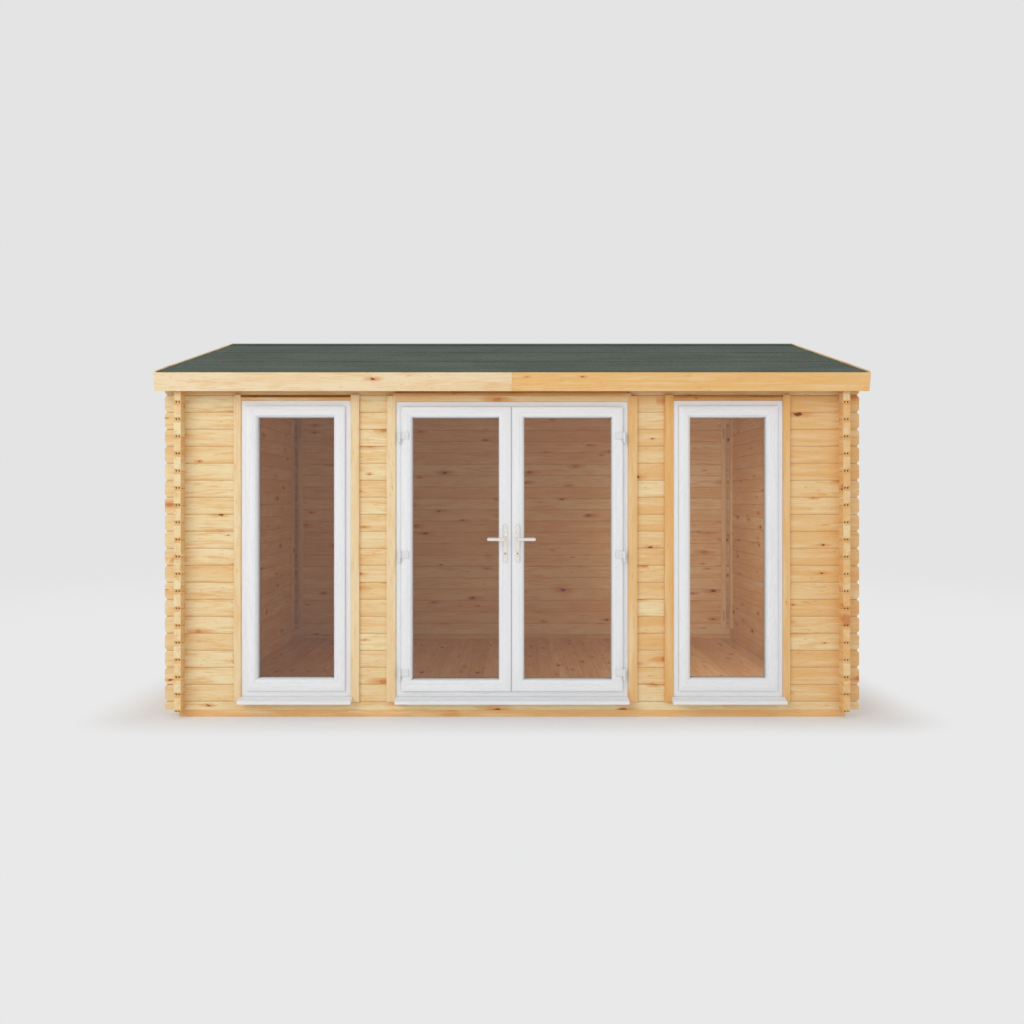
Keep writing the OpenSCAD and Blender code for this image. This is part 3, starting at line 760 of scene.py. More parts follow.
def deliver(mesh: bpy.types.Mesh, name: str, finish: object, body: Body,
            replaces: Sequence[str], smooth: float) -> bpy.types.Object:
    """Links a finished mesh as a piece of the building and reports it.

    Args:
        mesh: the piece's mesh.
        name: its name.
        finish: what it is made of.
        body: the body that it rides on.
        replaces: nodes of the frame that it stands for.
        smooth: edges sharper than this many degrees stay sharp.

    Returns:
        The object.
    """
    mesh.polygons.foreach_set("use_smooth", np.ones(len(mesh.polygons), bool))
    mesh.set_sharp_from_angle(angle=math.radians(smooth))
    mesh.materials.append(finish.material())
    piece = bpy.data.objects.new(name, mesh)
    link(piece)
    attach(piece, body.value)
    if replaces:
        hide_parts(*replaces)
    LOG.info("%s: %d faces on %s", name, len(mesh.polygons), body.value)
    return piece


def link(piece: bpy.types.Object) -> None:
    """Puts an object in the scene."""
    bpy.context.scene.collection.objects.link(piece)


def eased(near: float, far: float, bottom: float, top: float, arris: float) -> np.ndarray:
    """A rectangle's outline with its four corners cut.

    Args:
        near: least depth.
        far: greatest depth.
        bottom: least height.
        top: greatest height.
        arris: how much is cut off each side of a corner.

    Returns:
        Its (depth, height) points in order.
    """
    return np.array([
        (near + arris, bottom), (far - arris, bottom), (far, bottom + arris), (far, top - arris),
        (far - arris, top), (near + arris, top), (near, top - arris), (near, bottom + arris),
    ])


def heart(rng: np.random.Generator) -> np.ndarray:
    """A random place for a board's heart: far along, a little off its middle line, and behind its face."""
    along, across = rng.uniform(0, 60), rng.uniform(-0.03, 0.03)
    return np.array([along, across, rng.choice([-1, 1]) * rng.uniform(0.018, 0.06)])


def softened_copy(node: str, arris: float) -> bpy.types.Mesh:
    """A merged copy of a node's mesh with its long edges eased.

    Args:
        node: the node to copy.
        arris: width of the eased edges.

    Returns:
        The mesh.
    """
    work = bmesh.new()
    work.from_mesh(bpy.data.objects[node].data)
    bmesh.ops.remove_doubles(work, verts=work.verts, dist=MERGE)
    bmesh.ops.dissolve_limit(work, angle_limit=math.radians(0.5), verts=work.verts, edges=work.edges)
    sharp = [edge for edge in work.edges if len(edge.link_faces) == 2 and edge.calc_face_angle() > SHARP]
    bmesh.ops.bevel(work, geom=sharp, offset=arris, segments=1, affect="EDGES", clamp_overlap=True)
    bmesh.ops.recalc_face_normals(work, faces=work.faces)
    mesh = bpy.data.meshes.new(node + "_copy")
    work.to_mesh(mesh)
    work.free()
    return mesh


def read(items: bpy.types.bpy_prop_collection, key: str, width: int, kind: type) -> np.ndarray:
    """One value of every vertex, edge or loop of a mesh.

    Args:
        items: the mesh's vertices, edges or loops.
        key: the value's name.
        width: numbers in one value.
        kind: kind of number.

    Returns:
        One row an item.
    """
    values = np.zeros(len(items) * width, kind)
    items.foreach_get(key, values)
    return values.reshape(-1, width)


def copied_boards(node: str, finish: object, tones: Sequence[float], seed: int,
                  arris: float) -> bpy.types.Object:
    """A copy of a node whose solids are plain boards: merged, its long edges eased, each with its own grain.

    A board's grain follows its longest direction, found as the main axis of its corners' spread.

    Args:
        node: the node to copy and stand for.
        finish: what the boards are made of.
        tones: tones to give to the boards in turn.
        seed: start of the random draws.
        arris: width of the eased edges.

    Returns:
        The piece.
    """
    rng = np.random.default_rng(seed)
    mesh = softened_copy(node, arris)
    points = read(mesh.vertices, "co", 3, np.float32).astype(float)
    loops = read(mesh.loops, "vertex_index", 1, np.int32).ravel()
    grain, tone = np.zeros_like(points), np.zeros(len(points))
    for number, part in enumerate(islands(len(points), read(mesh.edges, "vertices", 2, np.int32))):
        centred = points[part] - points[part].mean(axis=0)
        axes = np.linalg.svd(centred, full_matrices=False)[2]
        grain[part] = centred @ axes.T + heart(rng)
        tone[part] = tones[number % len(tones)] + rng.normal(0, BOARD_SPREAD)
    write(mesh, "grain", "FLOAT_VECTOR", "vector", grain[loops])
    write(mesh, "tone", "FLOAT", "value", tone[loops])
    return deliver(mesh, node + "_boards", finish, Body.CABIN, [node], 20.0)


def islands(count: int, edges: np.ndarray) -> list[np.ndarray]:
    """Groups of points that edges join, by passing the lowest number along the edges until nothing changes.

    Args:
        count: number of points.
        edges: two point numbers a row.

    Returns:
        The point numbers of each group.
    """
    label = np.arange(count)
    while True:
        lowest = label.copy()
        np.minimum.at(lowest, edges[:, 0], label[edges[:, 1]])
        np.minimum.at(lowest, edges[:, 1], label[edges[:, 0]])
        lowest = lowest[lowest]
        if np.array_equal(lowest, label):
            return [np.flatnonzero(label == value) for value in np.unique(label)]
        label = lowest


# ---- timber


@dataclass(frozen=True)
class RoofLine:
    """The roof's slopes, which everything under and on them is cut to."""

    pitch: float = math.radians(14)
    board: float = 0.019
    felt: float = 0.003

    @property
    def ridge(self) -> float:
        """Height of the felt's top at the ridge."""
        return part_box("front_roof_felt")[1].z

    def under(self, y: float) -> float:
        """Height of the roof boards' underside at a distance from the ridge: a straight fall at the pitch."""
        return self.ridge - (self.board + self.felt) / math.cos(self.pitch) - abs(y) * math.tan(self.pitch)

    def reach(self, z: np.ndarray) -> np.ndarray:
        """Distance from the ridge at which the underside is at a height: the fall turned round."""
        return np.maximum((self.under(0.0) - z) / math.tan(self.pitch), 0.0)

    def slope(self, sign: float) -> Basis:
        """The basis of one slope: lengths run down it from the ridge, depths stand out of it, heights are X.

        Args:
            sign: -1 for the front slope, 1 for the rear one.

        Returns:
            The basis.
        """
        lean, rise = math.cos(self.pitch), math.sin(self.pitch)
        return Basis((0.0, sign * lean, -rise), (0.0, sign * rise, lean), (1.0, 0.0, 0.0),
                     (0.0, 0.0, self.ridge))

    def length(self) -> float:
        """Length of the roof boards down the slope, from the reach of the board's top edge."""
        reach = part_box("rear_roof_boards")[1].y
        return (reach + self.felt * math.sin(self.pitch)) / math.cos(self.pitch)


@dataclass(frozen=True)
class WallPlan:
    """One log wall: where its logs lie, the height of its lowest joint and the tone of its timber."""

    basis: Basis
    joint: float
    inner: float
    outer: float
    number: int
    tone: float


Block = tuple[float, float, float, float]


@dataclass
class LogWalls:
    """The walls, laid log by log, with V joints, grooves that show at the log ends, and chamfered ends."""

    roof: RoofLine
    thickness: float = 0.044
    course: float = 0.110
    joint_depth: float = 0.003
    groove_place: float = 0.0092
    groove_w: float = 0.0075
    groove_h: float = 0.010
    # Tones of painted shade: inside the grooves under the logs, and on the inner faces of the V joints.
    groove_tone: float = 3.0
    joint_tone: float = 1.86
    end_tone: float = -1.30
    # Painted shade: end faces on the chamfers, which slope up or down, are made deeper in tone.
    chamfer_tone: float = 0.35
    chamfer: float = 0.0175
    notch: float = 0.014
    header_notch: float = 0.034
    least: float = 0.008
    seed: int = 11
    tone_spread: float = 0.21
    middle_tone: float = 0.5
    wall_slope: float = 0.30
    pier_slope: float = 0.16
    # The side walls are deeper in tone than the front, partly as painted shade on the inner faces of the log
    # stubs at the corners.
    side_tone: float = 0.75
    side_slope: float = 0.15
    clear: float = 0.001

    def outline(self, low: float, high: float, joints: Sequence[bool],
                bands: Sequence[float]) -> tuple[np.ndarray, np.ndarray]:
        """A log's section: straight faces, V joints with softened edges, and two grooves in the underside.

        Args:
            low: height of its bottom.
            high: height of its top.
            joints: whether its bottom and its top are joints between logs.
            bands: further heights at which its faces get a corner.

        Returns:
            Corners as (depth, height), in order round the section, and the tone of the side that starts at
            each: a tone of painted shade inside the grooves and in the depth of a joint, or 0 where it is the
                log's own.
        """
        half, v = self.thickness / 2, self.joint_depth
        turn = np.array([(half - v, 0.0), (half - 0.25 * v, 0.75 * v), (half, 1.35 * v)])
        foot = turn * (1, 1) + (0, low) if joints[0] else np.array([(half, low)])
        head = turn[::-1] * (1, -1) + (0, high) if joints[1] else np.array([(half, high)])
        middle = np.array([(half, band) for band in bands]).reshape(-1, 2)
        side = np.concatenate([foot, middle, head])
        darker = np.zeros(len(side))
        # Painted shade on the inner faces of the V joints at the log's foot and head.
        darker[0] = self.joint_tone * joints[0]
        darker[-2] = self.joint_tone * joints[1]
        groove = np.array([(-0.5, 0), (-0.5, 1), (0.5, 1), (0.5, 0)]) * (self.groove_w, self.groove_h)
        under = [groove + (place, low) for place in (-self.groove_place, self.groove_place) if joints[0]]
        corners = np.concatenate([*under, side, side[::-1] * (-1, 1)])
        # Painted shade on the groove walls.
        groove_shade_tones = np.tile([self.groove_tone] * 3 + [0.0], len(under))
        return corners, np.concatenate([groove_shade_tones, darker, darker[:-1][::-1], [0.0]])

    def log(self, shell: Shell, wall: WallPlan, low: float, high: float, start: float, end: float,
            part: int = 0, blocks: Sequence[Block] = (), gable: bool = False, plate: bool = False) -> None:
        """Lays one log, or a stretch of one, split where another wall's logs cross it.

        Where it crosses, only the middle half of its height goes through. Each log end is narrowed by
        chamfers: its length falls in proportion as the height nears a joint.

        Args:
            shell: the piece that it belongs to.
            wall: the wall that it is laid in.
            low: height of its bottom.
            high: height of its top.
            start: where it starts along the wall.
            end: where it ends.
            part: number of the stretch in its course, for a tone and grain of its own.
            blocks: (bottom, top, start, end) of each part between the crossings, if it is not whole there.
            gable: whether its ends are cut to the roof's slope.
            plate: whether its top is cut to the roof's slope.
        """
        row = math.floor((low - wall.joint) / self.course + 0.001)
        base = wall.joint + row * self.course
        rng = np.random.default_rng([self.seed, wall.number, row + 5, part])
        grain, tone = heart(rng), wall.tone + rng.normal(0, self.tone_spread)
        grain[1] -= base + self.course / 2
        through = (max(low, base + self.course / 4), min(high, base + self.course * 3 / 4))
        spans = list(blocks) or [(low, high, max(start, -wall.inner), min(end, wall.inner))]
        if start < -wall.outer:
            spans += [(low, high, start, -wall.outer), (*through, -wall.outer, -wall.inner)]
        if end > wall.outer:
            spans += [(low, high, wall.outer, end), (*through, wall.inner, wall.outer)]
        for bottom, top, near, far in spans:
            kinks = [base + self.chamfer, base + self.course - self.chamfer]
            if gable:
                nearest = 0.0 if near < 0 < far else min(abs(near), abs(far))
                top = min(top, self.roof.under(nearest) - self.clear)
                kinks += [self.roof.under(near), self.roof.under(far)]
            if top - bottom < self.least:
                continue
            bands = sorted({round(kink, 5) for kink in kinks if bottom + 0.005 < kink < top - 0.005})
            steps = [(z - wall.joint) / self.course for z in (bottom, top)]
            joints = [abs(step - round(step)) < 0.001 for step in steps]
            outline, darker = self.outline(bottom, top, joints, bands)
            heights = outline[:, 1].copy()
            gap = np.minimum(heights - base, base + self.course - heights)
            cut = self.notch * np.clip(1 - gap / self.chamfer, 0, 1)
            starts = near + cut * (near < -wall.outer - TINY)
            ends = far - cut * (far > wall.outer + TINY)
            if gable:
                limit = self.roof.reach(heights)
                starts, ends = np.clip(starts, -limit, limit), np.clip(ends, -limit, limit)
            if plate:
                top_row = heights > top - TINY
                outline[top_row, 1] -= outline[top_row, 0] * math.tan(self.roof.pitch)
            levels = np.array([bottom, *bands, top])
            middles = (levels[:-1] + levels[1:]) / 2 - base
            # End faces on the chamfers get painted shade for their slope; the square end faces are made paler
            # as end grain.
            slant = np.minimum(middles, self.course - middles) < self.chamfer
            end_tones = tone + np.where(slant, self.chamfer_tone, self.end_tone * (1 - wall.tone))
            # Painted shade of the grooves and joints takes the place of the log's tone on those faces.
            tones = np.where(darker > 0, darker, tone)
            shell.prism(outline, starts, ends, wall.basis, grain, tones, bands, end_tones)

    def courses(self, shell: Shell, wall: WallPlan, low: float, high: float, start: float, end: float,
                part: int = 0) -> None:
        """Lays whole courses between two heights.

        Args:
            shell: the piece that they belong to.
            wall: the wall that they are laid in.
            low: height of the first one's bottom.
            high: height of the last one's top.
            start: where they start along the wall.
            end: where they end.
            part: number of the stretch in its course.
        """
        for number in range(round((high - low) / self.course)):
            bottom = low + number * self.course
            self.log(shell, wall, bottom, bottom + self.course, start, end, part)

    def long_plan(self, sign: float, number: int, tone: float) -> WallPlan:
        """The plan of the front or the rear wall.

        Args:
            sign: -1 for the front, 1 for the rear.
            number: the wall's number, for random draws of its own.
            tone: the tone of its timber.

        Returns:
            The plan.
        """
        low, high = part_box("rear_wall")
        outer = -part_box("left_wall")[0].x
        basis = Basis((1, 0, 0), (0, sign, 0), (0, 0, 1), (0, sign * (low.y + high.y) / 2, 0))
        return WallPlan(basis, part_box("front_bottom_log")[1].z, outer - self.thickness, outer, number, tone)

    def finish(self, shell: Shell, name: str, node: str) -> None:
        """Makes one piece of log wall."""
        shell.build(name, LOGS, Body.CABIN, "log_wood", [node], 30.0)

    def front(self) -> None:
        """The front wall: a half log, the courses beside the openings, and the notched header logs above."""
        for side in Side:
            slopes = {"front_wall": self.wall_slope, "front_pier": self.pier_slope}
            for number, (stem, slope) in enumerate(slopes.items()):
                node = f"{stem}_{side.word}"
                low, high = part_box(node)
                plan = self.long_plan(-1, number, self.middle_tone + side.value * slope)
                shell = Shell()
                self.courses(shell, plan, low.z, high.z, low.x, high.x, side.value + 1)
                self.finish(shell, node + "_logs", node)
        plan = self.long_plan(-1, 2, self.middle_tone)
        low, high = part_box("front_bottom_log")
        shell = Shell()
        self.log(shell, plan, low.z, high.z, low.x, high.x)
        self.finish(shell, "front_foot_log", "front_bottom_log")
        low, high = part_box("front_header_logs")
        gap, notch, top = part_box("front_pier_right")[0].x, low.z + self.header_notch, low.z + self.course
        blocks = [(low.z, notch, -plan.inner, -gap), (low.z, notch, gap, plan.inner),
                  (notch, top, -plan.inner, plan.inner)]
        shell = Shell()
        self.log(shell, plan, low.z, top, low.x, high.x, blocks=blocks)
        self.plate_log(shell, plan, top, low.x, high.x)
        self.finish(shell, "front_header", "front_header_logs")

    def plate_log(self, shell: Shell, plan: WallPlan, low: float, start: float, end: float) -> None:
        """The last log under the roof, its top cut to the slope.

        Args:
            shell: the piece that it belongs to.
            plan: the wall that it is laid in.
            low: height of its bottom.
            start: where it starts along the wall.
            end: where it ends.
        """
        top = self.roof.under(plan.basis.origin[1]) - self.clear / 2
        self.log(shell, plan, low, top, start, end, plate=True)

    def rear(self) -> None:
        """The rear wall, whole from end to end."""
        plan = self.long_plan(1, 3, self.middle_tone)
        low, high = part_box("rear_wall")
        shell = Shell()
        self.log(shell, plan, low.z, plan.joint, low.x, high.x)
        top = plan.joint + self.course * math.floor((high.z - plan.joint) / self.course)
        self.courses(shell, plan, plan.joint, top, low.x, high.x)
        self.plate_log(shell, plan, top, low.x, high.x)
        self.finish(shell, "rear_wall_logs", "rear_wall")

    def side(self, side: Side) -> None:
        """A side wall and its gable, whose logs stop at the purlins and follow the roof.

        Args:
            side: which one.
        """
        low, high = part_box(f"{side.word}_wall")
        basis = Basis((0, 1, 0), (side.value, 0, 0), (0, 0, 1), ((low.x + high.x) / 2, 0, 0))
        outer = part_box("rear_wall")[1].y
        # A deeper tone, partly painted shade for the stubs' inner faces.
        tone = self.side_tone + self.side_slope * side.value
        plan = WallPlan(basis, low.z, outer - self.thickness, outer, 7 + side.value, tone)
        shell = Shell()
        self.courses(shell, plan, low.z, high.z, low.y, high.y)
        self.finish(shell, f"{side.word}_wall_logs", f"{side.word}_wall")
        shell = Shell()
        bottom, ends = high.z, (low.y, high.y)
        while bottom < self.roof.under(0):
            blocks = self.between_purlins(bottom, bottom + self.course, plan.inner)
            self.log(shell, plan, bottom, bottom + self.course, *ends, blocks=blocks, gable=True)
            bottom, ends = bottom + self.course, (-plan.inner, plan.inner)
        self.finish(shell, f"{side.word}_gable_logs", f"{side.word}_gable")

    def between_purlins(self, low: float, high: float, inner: float) -> list[Block]:
        """The parts of a gable course that the purlins leave: below a purlin's foot, and beside it higher up.

        Args:
            low: height of the course's bottom.
            high: height of its top.
            inner: distance from the middle to the wall's inner ends.

        Returns:
            (bottom, top, start, end) of each part.
        """
        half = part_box("ridge_purlin")[1].y
        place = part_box("side_purlins")[1].y - half
        feet = {-place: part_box("side_purlins")[0].z, 0.0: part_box("ridge_purlin")[0].z,
                place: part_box("side_purlins")[0].z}
        levels = sorted({low, high, *(foot for foot in feet.values() if low < foot < high)})
        blocks = []
        for bottom, top in zip(levels[:-1], levels[1:]):
            met = [middle for middle, foot in feet.items() if foot < (bottom + top) / 2]
            starts = [-inner, *(middle + half for middle in met)]
            ends = [*(middle - half for middle in met), inner]
            blocks += [(bottom, top, start, end) for start, end in zip(starts, ends)]
        return blocks

    def build(self) -> None:
        """Builds the four walls."""
        self.front()
        self.rear()
        for side in Side:
            self.side(side)


@dataclass
class Timber:
    """Everything of plain boards: bearers, joists, floor, purlins, roof boards, fascias, trims and braces.

    A pair of floor or roof tones is their middle and their spread.
    """

    roof: RoofLine
    floor_board: float = 0.112
    roof_board: float = 0.1125
    arris: float = 0.0015
    sawn_arris: float = 0.002
    hairline: float = 0.0006
    trim_w: float = 0.055
    fillet: float = 0.021
    strip: float = 0.017
    window_tone: float = 0.48
    window_slope: float = 0.46
    door_tone: float = 0.22
    door_slope: float = 0.28
    bearer_tones: Pair = (0.4, 0.6)
    floor_tone: Pair = (0.5, 0.22)
    roof_tone: Pair = (0.45, 0.2)
    head_tone: float = 0.45
    strip_tone: float = 0.6
    trim_spread: float = 0.08
    seed: int = 23

    def base(self) -> None:
        """Bearers and joists."""
        for number, node in enumerate(("front_bearer", "rear_bearer", "side_bearers", "floor_joists")):
            copied_boards(node, BEARER, self.bearer_tones, self.seed + number,
                          self.sawn_arris)

    def floor(self) -> None:
        """Floor boards, laid from front to back across the joists."""
        low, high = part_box("floor_boards")
        rng = np.random.default_rng(self.seed)
        count = round((high.x - low.x) / self.floor_board)
        edges = np.linspace(low.x, high.x, count + 1)
        shell = Shell()
        for left, right in zip(edges[:-1], edges[1:]):
            shell.board((left + self.hairline, low.y, low.z), (right - self.hairline, high.y, high.z),
                        ALONG_Y, heart(rng), rng.normal(*self.floor_tone), self.arris)
        shell.build("floor_planks", FLOOR, Body.CABIN, "board_wood", ["floor_boards"])

    def roof_boards(self) -> None:
        """Roof boards down each slope, cut plumb at the ridge: they start at minus the depth x tan(pitch)."""
        for sign, word in ((-1, "front"), (1, "rear")):
            node = f"{word}_roof_boards"
            low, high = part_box(node)
            rng = np.random.default_rng([self.seed, int(sign) + 3])
            edges = np.linspace(low.x, high.x, round((high.x - low.x) / self.roof_board) + 1)
            shell = Shell()
            for left, right in zip(edges[:-1], edges[1:]):
                outline = eased(-self.roof.felt - self.roof.board, -self.roof.felt,
                                left + self.hairline / 2, right - self.hairline / 2, 2 * self.arris)
                grain = heart(rng) - (0, (left + right) / 2, 0)
                shell.prism(outline, -outline[:, 0] * math.tan(self.roof.pitch), self.roof.length(),
                            self.roof.slope(sign), grain, rng.normal(*self.roof_tone))
            shell.build(f"{word}_roof_planks", PLANED, Body.CABIN, "board_wood", [node])

    def purlins_and_fascias(self) -> None:
        """Purlins, fascias, bargeboards and storm braces."""
        tones = {
            "ridge_purlin": (0.4,), "side_purlins": (0.3, 0.5), "storm_braces": (0.25, 0.4),
            "front_fascia_left": (-0.05,), "front_fascia_right": (0.95,), "rear_fascias": (0.3, 0.7),
            "left_bargeboards": (0.15, 0.35), "right_bargeboards": (0.8, 0.65),
        }
        for number, (node, tone) in enumerate(tones.items()):
            finish = FASCIA if "fascia" in node or "barge" in node else PLANED
            copied_boards(node, finish, tone, self.seed + 40 + number, self.sawn_arris)

    def window_trims(self, heads: Shell, rng: np.random.Generator) -> None:
        """Upright boards on both sides of each window, and a head fillet above its frame.

        Args:
            heads: the piece that the fillets belong to.
            rng: source of the random draws.
        """
        low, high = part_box("window_trims")
        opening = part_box("right_window_frame")
        shell = Shell()
        for side in Side:
            inner, outer = side.value * opening[0].x, side.value * opening[1].x
            near, edge = side.value * (opening[0].x - self.trim_w), side.value * high.x
            tone = self.window_tone + self.window_slope * side.value
            for start, end in ((near, inner), (outer, edge)):
                shell.board((start, low.y, low.z), (end, high.y, high.z), UPRIGHT, heart(rng),
                            tone + rng.normal(0, self.trim_spread), self.arris)
            heads.board((inner, low.y, opening[1].z), (outer, high.y, opening[1].z + self.fillet), ALONG_X,
                        heart(rng), tone, self.arris)
        shell.build("window_trim_boards", PLANED, Body.CABIN, "planed_wood", ["window_trims"])

    def door_trim(self, heads: Shell, rng: np.random.Generator) -> None:
        """Upright boards beside the doors, a head board between them, and the strip over all three.

        Args:
            heads: the piece that the strip belongs to.
            rng: source of the random draws.
        """
        low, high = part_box("door_trim")
        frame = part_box("door_frame")[1]
        face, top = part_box("window_trims")[0].y, high.z - self.strip
        shell = Shell()
        for side in Side:
            shell.board((side.value * frame.x, face, low.z), (side.value * high.x, high.y, top), UPRIGHT,
                        heart(rng), self.door_tone + self.door_slope * side.value, self.arris)
        shell.board((-frame.x, face, frame.z), (frame.x, high.y, top), ALONG_X, heart(rng), self.head_tone,
                    self.arris)
        reach = frame.x + self.strip
        heads.board((-reach, low.y, top), (reach, high.y, high.z), ALONG_X, heart(rng), self.strip_tone,
                    self.arris)
        shell.build("door_trim_boards", PLANED, Body.CABIN, "planed_wood", ["door_trim"])

    def trims(self) -> None:
        """Window and door trims, and the strips over both, whose darker finish is partly their own and partly
        painted shade under the fascia.
        """
        rng = np.random.default_rng(self.seed + 5)
        heads = Shell()
        self.window_trims(heads, rng)
        self.door_trim(heads, rng)
        heads.build("head_strips", SHADED_STRIP, Body.CABIN, "planed_wood")

    def build(self) -> None:
        """Builds all the boards."""
        self.base()
        self.floor()
        self.roof_boards()
        self.purlins_and_fascias()
        self.trims()


@dataclass
class RoofFelt:
    """Felt in level sheets from the eaves up, each lapping the one below, with a strip over the ridge."""

    roof: RoofLine
    sheets: int = 3
    lap: float = 0.08
    thickness: float = 0.0024
    lift: float = 0.0019
    sway: float = 0.0005
    long_wave: Pair = (3.1, 1.7)
    short_wave: Pair = (1.3, 9.0)
    ridge_half: float = 0.13
    ridge_proud: float = 0.0016
    ridge_sunk: float = 0.0006
    across: int = 96
    down: int = 14

    def sheet(self, sign: float, start: float, end: float, lifted: bool) -> np.ndarray:
        """Rows of closed rings, one for each station along X, round the sheet's section.

        The top follows the slope, lifted at its lower edge where it lies on the next sheet, plus a small
        sway made of two crossing sines. The underside is the top less the thickness.

        Args:
            sign: -1 for the front slope, 1 for the rear one.
            start: distance of its upper edge from the ridge.
            end: distance of its lower edge.
            lifted: whether its lower edge lies on another sheet.

        Returns:
            Stations x ring x 3.
        """
        low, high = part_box("front_roof_felt")
        x = np.linspace(low.x, high.x, self.across)[:, None]
        s = np.linspace(start, end, self.down)[None, :]
        rise = np.clip((s - end + 2 * self.lap) / self.lap, 0, 1) * (self.lift if lifted else 0.0)
        (a, b), (c, d) = self.long_wave, self.short_wave
        sway = self.sway * np.sin(a * x + b * s + sign) * np.sin(d * s + c * x)
        top = -self.sway + rise + sway + 0 * x
        top = np.minimum(top, 0.0 if not lifted else self.lift)
        bottom = np.maximum(top - self.thickness, -self.roof.felt)
        s = s + 0 * x
        depth = np.concatenate([top, bottom[:, ::-1]], axis=1)
        length = np.concatenate([s, s[:, ::-1]], axis=1)
        length = np.maximum(length, -depth * math.tan(self.roof.pitch))
        place = self.roof.slope(sign).place(length.ravel(), depth.ravel(), (x + 0 * depth).ravel())
        return place.reshape(self.across, -1, 3)

    def build(self) -> None:
        """Builds both slopes and the ridge strip."""
        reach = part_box("rear_roof_felt")[1].y
        end = reach / math.cos(self.roof.pitch)
        for sign, word in ((-1, "front"), (1, "rear")):
            shell = Shell()
            edges = np.linspace(0.0, end, self.sheets + 1)
            for number in range(self.sheets):
                last = number == self.sheets - 1
                stop = edges[number + 1] + (0 if last else self.lap / 2)
                start = max(edges[number] - self.lap / 2, 0.0)
                shell.grid(self.sheet(sign, start, stop, not last))
            shell.build(f"{word}_felt_sheets", FELT, Body.CABIN, "roof_felt", [f"{word}_roof_felt"], 60.0)
        self.ridge_strip()

    def ridge_strip(self) -> None:
        """The strip over the ridge: a thin bent sheet whose two halves follow the slopes."""
        low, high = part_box("front_roof_felt")
        s = np.linspace(-self.ridge_half, self.ridge_half, 15)
        x = np.linspace(low.x, high.x, self.across)
        lean, rise = math.cos(self.roof.pitch), math.sin(self.roof.pitch)
        rings = []
        for depth, run in ((self.lift + self.ridge_proud, s), (self.lift - self.ridge_sunk, s[::-1])):
            side = np.where(run < 0, -1.0, 1.0)
            y = side * (np.abs(run) * lean + depth * rise) * (np.abs(run) > TINY)
            z = self.roof.ridge - np.abs(run) * rise + depth * lean
            rings.append(np.column_stack([y, z]))
        ring = np.concatenate(rings)
        points = np.concatenate([np.tile(x[:, None, None], (1, len(ring), 1)),
                                 np.tile(ring[None], (len(x), 1, 1))], axis=2)
        shell = Shell()
        shell.grid(points)
        shell.build("ridge_felt_strip", FELT, Body.CABIN, "roof_felt", (), 60.0)


# ---- windows and doors


@dataclass(frozen=True)
class Section:
    """Closed section of a frame member.

    Each row is a corner: an inset from the member's outer edge, the shares of the member's width and of
    its lap that are added to it, and a depth.
    """

    rows: tuple[tuple[float, float, float, float], ...]
    mitre: float = 0.0
    mitre_reach: float = 0.010

    def carry(self, shell: Shell, rect: Sequence[float], widths: Sequence[float], laps: Sequence[float],
              shift: float) -> None:
        """Carries the section round a rectangle, mitred at its corners.

        A corner point lies at the upright's inset from the side and at the level member's inset from the
        foot or head. A mitre line is a shallow V: three rings at each corner, with the middle one set back.
        The grain runs along each member, X of the level ones and Z of the uprights, with a shift of its own.

        Args:
            shell: the piece that it belongs to.
            rect: left, right, bottom and top of the outer edge.
            widths: widths of the left, right, bottom and top members.
            laps: laps of the left, right, bottom and top members.
            shift: shift of the grain, so that two frames differ.
        """
        inset, share, lap, depth = np.array(self.rows).T
        sides = [inset + share * width + lap * extra for width, extra in zip(widths, laps)]
        xs, zs = (rect[0] + sides[0], rect[1] - sides[1]), (rect[2] + sides[2], rect[3] - sides[3])
        runs = np.array([(1, 0, 0), (0, 0, 1), (-1, 0, 0), (0, 0, -1)], float)
        front = depth < depth.min() + self.mitre_reach
        rings, owners = [], []
        for number, (i, j) in enumerate(((0, 0), (1, 0), (1, 1), (0, 1))):
            ring = np.column_stack([xs[i], depth, zs[j]])
            if self.mitre:
                rings.append(ring - runs[number - 1] * self.mitre)
                owners.append((number - 1) % 4)
            rings.append(ring + np.outer(front * self.mitre, (0, 1, 0)))
            owners.append(number)
            if self.mitre:
                rings.append(ring + runs[number] * self.mitre)
                owners.append(number)
        points = np.concatenate(rings)
        shell.points.append(points)
        ring = np.arange(len(depth))
        after = np.roll(ring, -1)
        for number, owner in enumerate(owners):
            low, high = number * len(depth), (number + 1) % len(owners) * len(depth)
            quads = np.stack([ring + low, after + low, after + high, ring + high], axis=1)
            order = (2, 0, 1) if owner % 2 else (0, 2, 1)
            shell.cover([quads], points[:, order] + (shift + 7.3 * owner, 3.1 * owner, 0), 0.5)
        shell.count += len(points)


